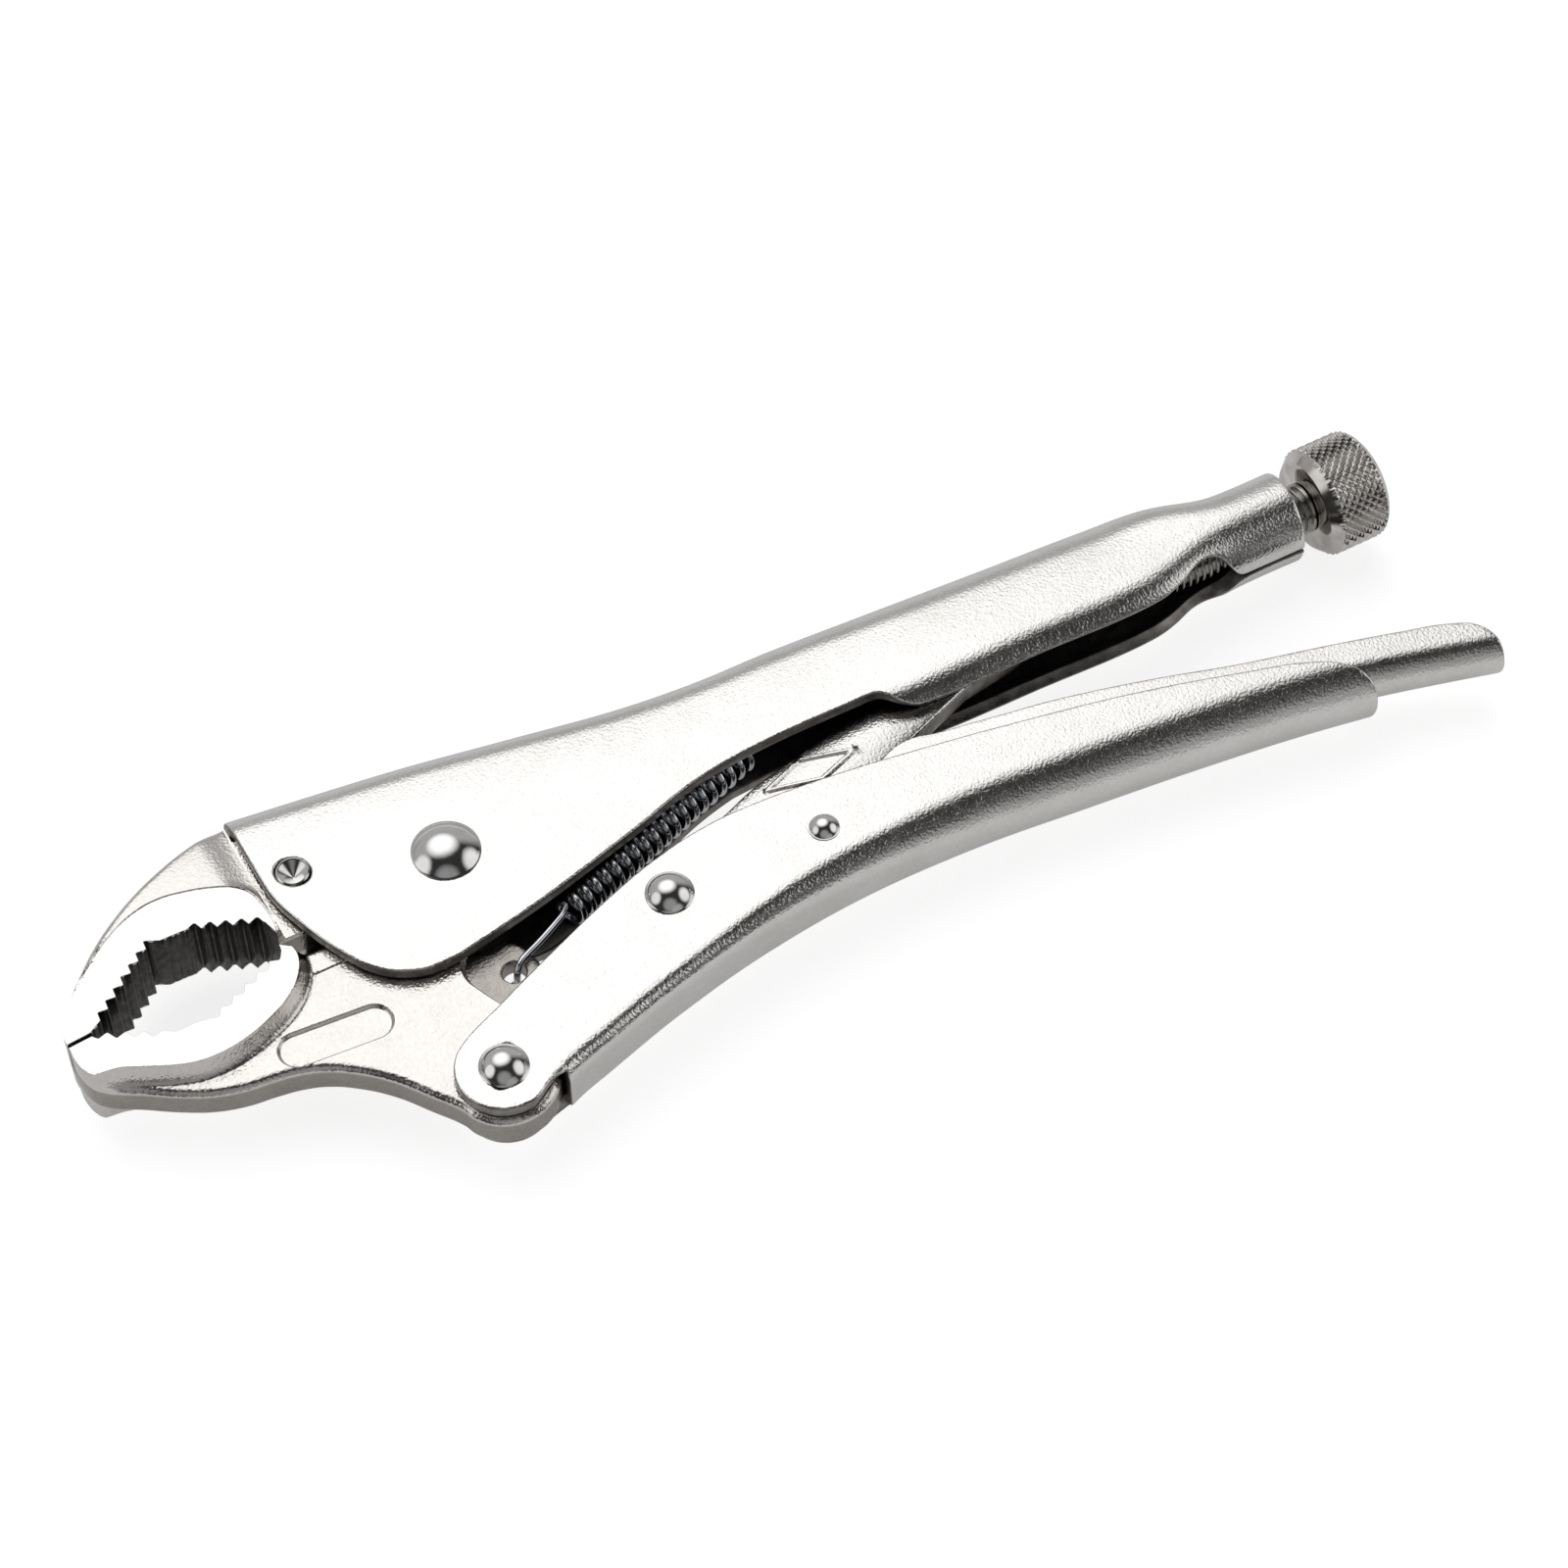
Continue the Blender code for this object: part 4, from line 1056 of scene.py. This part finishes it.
def make_knob():
    """The knob: a plain collar and chamfer in front, a diamond knurl, and a dished end."""
    starts, lean, fine = 38, 1.7, 10
    sides = starts * fine
    length = KNOB_END_X - KNOB_FRONT_X
    front = [(3.4, 0.0), (7.6, 0.0), (8.6, 0.35), (9.6, 1.5), (10.0, 2.0)]
    end = [(9.7, 0.7), (8.9, 0.15), (8.2, 0.0), (7.4, 0.05), (6.9, 0.5), (2.0, 0.55)]
    rows = [(x, r, 0.0) for r, x in front]
    steps = 55
    for i in range(steps + 1):
        rows.append((2.3 + lean / fine * i, KNOB_RADIUS - 0.05, 1.0 if 0 < i < steps else 0.6))
    rows += [(length - x, r, 0.0) for r, x in end]
    points = []
    for x, radius, knurl in rows:
        for k in range(sides):
            turn = k / sides * starts
            first = abs(((turn + x / lean) % 1.0) * 2 - 1)
            second = abs(((turn - x / lean) % 1.0) * 2 - 1)
            cut = KNURL_DEPTH * knurl * (1 - min(1.0, 1.15 * min(first, second)))
            angle = 2 * math.pi * k / sides
            reach = radius - cut
            points.append((KNOB_FRONT_X + x, SCREW_Y + reach * math.cos(angle), reach * math.sin(angle)))
    add_piece("knurled_knob", points, walls(len(rows), sides, capped=True), [KNURLED], "adjusting_knob",
              ["adjusting_knob"], sharp=24)


# ---- tension spring


def spring_path():
    """The wire's middle line: through the hole in the lower jaw, along the coil, into the handle's tab."""
    start, end = Vector((*SPRING_FRONT, 0.0)), Vector((*SPRING_REAR, 0.0))
    along = (end - start).normalized()
    across = Vector((-along.y, along.x, 0.0))
    lift = Vector((0, 0, 1))
    hook = Vector((*SPRING_HOLE, 0.0))
    lead = [
        hook + Vector(step)
        for step in ((-1.2, 0.6, -3.2), (0.1, -0.2, -1.4), (0.3, -0.3, 0.6), (0.6, -0.2, 2.2),
                     (2.0, 0.9, 3.0), (6.2, 2.7, 3.1), (10.4, 4.8, 3.0), (12.0, 5.7, 3.0))
    ]
    coil = []
    per_turn = 36
    steps = per_turn * SPRING_TURNS
    for i in range(steps + 1):
        angle = 2 * math.pi * i / per_turn
        centre = start + (end - start) * i / steps
        coil.append(centre + (lift * math.cos(angle) + across * math.sin(angle)) * SPRING_RADIUS)
    tab = Vector((*SPRING_TAB, 0.0))
    tail = [
        end + along * 2.2 + lift * 1.6, tab - Vector((4.5, 0.6, -0.4)), tab - Vector((2.0, 0, 0)), tab,
        tab + Vector((1.8, 0, 0)), tab + Vector((2.8, -1.2, 0)), tab + Vector((2.8, -2.6, 0)),
    ]
    return smooth_path(lead + coil[:1], 8)[:-1] + coil + smooth_path(coil[-1:] + tail, 6)[1:]


def smooth_path(points, steps):
    """Close points on a smooth curve through a few points."""
    found = []
    for i in range(len(points) - 1):
        p0, p1 = points[max(i - 1, 0)], points[i]
        p2, p3 = points[i + 1], points[min(i + 2, len(points) - 1)]
        for k in range(steps):
            first, second, leaving, arriving = cubic(k / steps)
            found.append(p1 * first + p2 * second + (p2 - p0) * 0.5 * leaving + (p3 - p1) * 0.5 * arriving)
    found.append(points[-1])
    return found


def make_spring():
    points, faces = tube(spring_path(), SPRING_WIRE)
    obj = add_piece("tension_spring_coil", points, faces, [SPRING], None,
                    ["tension_spring"], sharp=60)
    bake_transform(obj)


def make_tab(name, x, y_low, y_high, half, hole_y, thick, body):
    """A small upright plate across the channel, with a round hole if hole_y is given."""
    corners = [(y_low, -half), (y_high, -half), (y_high, half), (y_low, half)]
    loops = [outline([(*corner, CORNER) for corner in corners])]
    if hole_y:
        loops.append(circle((hole_y, 0.0), TAB_HOLE_RADIUS, 24))
    edge = 0.25
    corners, faces, gap = region(loops, rounding_rows(edge, 3), 0.8)
    drop = edge_drop(gap, edge)
    top = np.column_stack([x + thick / 2 - drop, corners[:, 0], corners[:, 1]])
    bottom = np.column_stack([x - thick / 2 + drop, corners[:, 0], corners[:, 1]])
    points, solid, _ = sheet(corners, faces, top, bottom)
    # The tab lies inside a channel and takes the dark painted shade.
    add_piece(name, points, solid, [INNER_SHADE], body, [])


# ---- stage, light and camera

FLOOR_TONE = (0.6, 0.6, 0.6, 1.0)
FLOOR_GLOW = 0.26
FLOOR_GLOW_SEEN = 0.52


def emptied(owner):
    """The node tree of a material or world, with nothing in it."""
    owner.use_nodes = True
    owner.node_tree.nodes.clear()
    return owner.node_tree


def make_floor():
    mesh = bpy.data.meshes.new("floor")
    size = 6.0
    corners = [(-size, -size, 0), (size, -size, 0), (size, size, 0), (-size, size, 0)]
    mesh.from_pydata(corners, [], [(0, 1, 2, 3)])
    floor = bpy.data.objects.new("floor", mesh)
    floor.location.z = -0.0004
    bpy.context.scene.collection.objects.link(floor)
    material = bpy.data.materials.new("pale_floor")
    tree = emptied(material)
    seen = add_node(tree, "LightPath", {}).outputs["Is Camera Ray"]
    level = add_node(tree, "Math", {0: seen, 1: FLOOR_GLOW_SEEN, 2: FLOOR_GLOW}, operation="MULTIPLY_ADD")
    glow = add_node(tree, "Emission", {"Strength": level.outputs[0]})
    diffuse = add_node(tree, "BsdfDiffuse", {"Color": FLOOR_TONE})
    both = add_node(tree, "AddShader", {0: diffuse.outputs[0], 1: glow.outputs[0]})
    add_node(tree, "OutputMaterial", {0: both.outputs[0]})
    mesh.materials.append(material)


# Azimuth and elevation of each light's middle, the degrees from it where it starts and is full,
# and its darkest and brightest strength. Azimuth 0 is the knuckle side, and 90 the knob's end.
LIGHTS = {
    "softbox above": (174, 57, 42, 3, 0.03, 1.32),
    "softbox at the knob's end": (66, 27, 32, 14, 0.0, 0.85),
    "softbox at the jaws' end": (-108, 27, 30, 13, 0.0, 0.85),
    "low card in front": (0, 8, 33, 12, 0.0, 0.34),
    "high card in front": (-25, 35, 38, 14, 0.0, 0.27),
    "low card behind": (155, 6, 62, 34, 0.0, 0.4),
    "high card behind": (-150, 30, 45, 15, 0.0, 0.4),
}
WHITE = (1, 1, 1, 1)


def direction(azimuth, elevation):
    """The way towards that azimuth and elevation."""
    a, e = math.radians(azimuth), math.radians(elevation)
    return Vector((math.sin(a) * math.cos(e), -math.cos(a) * math.cos(e), math.sin(e)))


def light_level(tree, azimuth, elevation, start, end, low, high):
    """high where the sky is within end degrees of that direction, low beyond start degrees."""
    way = add_node(tree, "TexCoord", {}).outputs["Generated"]
    inputs = {0: way, 1: direction(azimuth, elevation)}
    dot = add_node(tree, "VectorMath", inputs, operation="DOT_PRODUCT").outputs["Value"]
    inputs = {0: dot, 1: math.cos(math.radians(start)), 2: math.cos(math.radians(end)), 3: low, 4: high}
    return add_node(tree, "MapRange", inputs, interpolation_type="SMOOTHSTEP").outputs["Result"]


def make_light():
    """Softboxes above and at both ends, and grey cards in front and behind, with dark gaps between."""
    world = bpy.data.worlds.new("studio")
    bpy.context.scene.world = world
    tree = emptied(world)
    brightest, *others = [light_level(tree, *light) for light in LIGHTS.values()]
    for level in others:
        brightest = add_node(tree, "Math", {0: brightest, 1: level}, operation="MAXIMUM").outputs[0]
    lit = add_node(tree, "Background", {"Color": WHITE, "Strength": brightest})
    plain = add_node(tree, "Background", {"Color": WHITE, "Strength": 1.0})
    seen = add_node(tree, "LightPath", {}).outputs["Is Camera Ray"]
    mix = add_node(tree, "MixShader", {0: seen, 1: lit.outputs[0], 2: plain.outputs[0]})
    add_node(tree, "OutputWorld", {"Surface": mix.outputs[0]})


CAMERA_AIM = (57.1839, -15.8272, 6.2)
CAMERA_AZIMUTH = -29.0
CAMERA_ELEVATION = 55.0
CAMERA_DISTANCE = 0.6768


def make_camera():
    """The camera stands to the left of the knuckle side and looks down at the tool."""
    back = direction(CAMERA_AZIMUTH, CAMERA_ELEVATION)
    data = bpy.data.cameras.new("camera")
    data.lens = 90.0
    data.sensor_width = 36.0
    data.clip_start = 0.01
    camera = bpy.data.objects.new("camera", data)
    bpy.context.scene.collection.objects.link(camera)
    camera.location = ORIGIN + Vector(CAMERA_AIM) * MM + back * CAMERA_DISTANCE
    camera.rotation_mode = "QUATERNION"
    camera.rotation_quaternion = (-back).to_track_quat("-Z", "Y")
    bpy.context.scene.camera = camera


# ---- the whole scene

make_fixed_handle()
make_upper_jaw()
make_lower_jaw()
make_moving_handle()
make_toggle_link()
make_release_lever()
make_rivet("jaw_pivot_rivet", JAW_PIVOT, 4.0, 6.0, 2.6, PLATE_HALF, "fixed_handle")
make_rivet("lower_jaw_rivet", HANDLE_PIVOT, 3.0, 4.2, 2.6, PLATE_HALF, "moving_handle")
make_rivet("toggle_rivet", TOGGLE_PIVOT, 3.0, 4.2, 2.6, float(MOVING_HALF(TOGGLE_PIVOT[0])), "moving_handle")
make_rivet("release_lever_rivet", RELEASE_PIVOT, 2.0, 2.7, 1.7, float(MOVING_HALF(RELEASE_PIVOT[0])),
           "moving_handle")
make_stake_pin()
make_screw()
make_knob()
make_spring()
make_tab("spring_anchor_tab", SPRING_TAB[0], 2.0, float(FIXED_BACK(SPRING_TAB[0])) - 1.6, 2.2, SPRING_TAB[1],
         2.0, "fixed_handle")
make_tab("lever_pusher_plate", PUSHER_X + LEVER_SHEET / 2, -34.4, -18.6, 3.0, None, LEVER_SHEET,
         "release_lever")
make_floor()
make_light()
make_camera()
bpy.context.scene.view_settings.view_transform = "Standard"
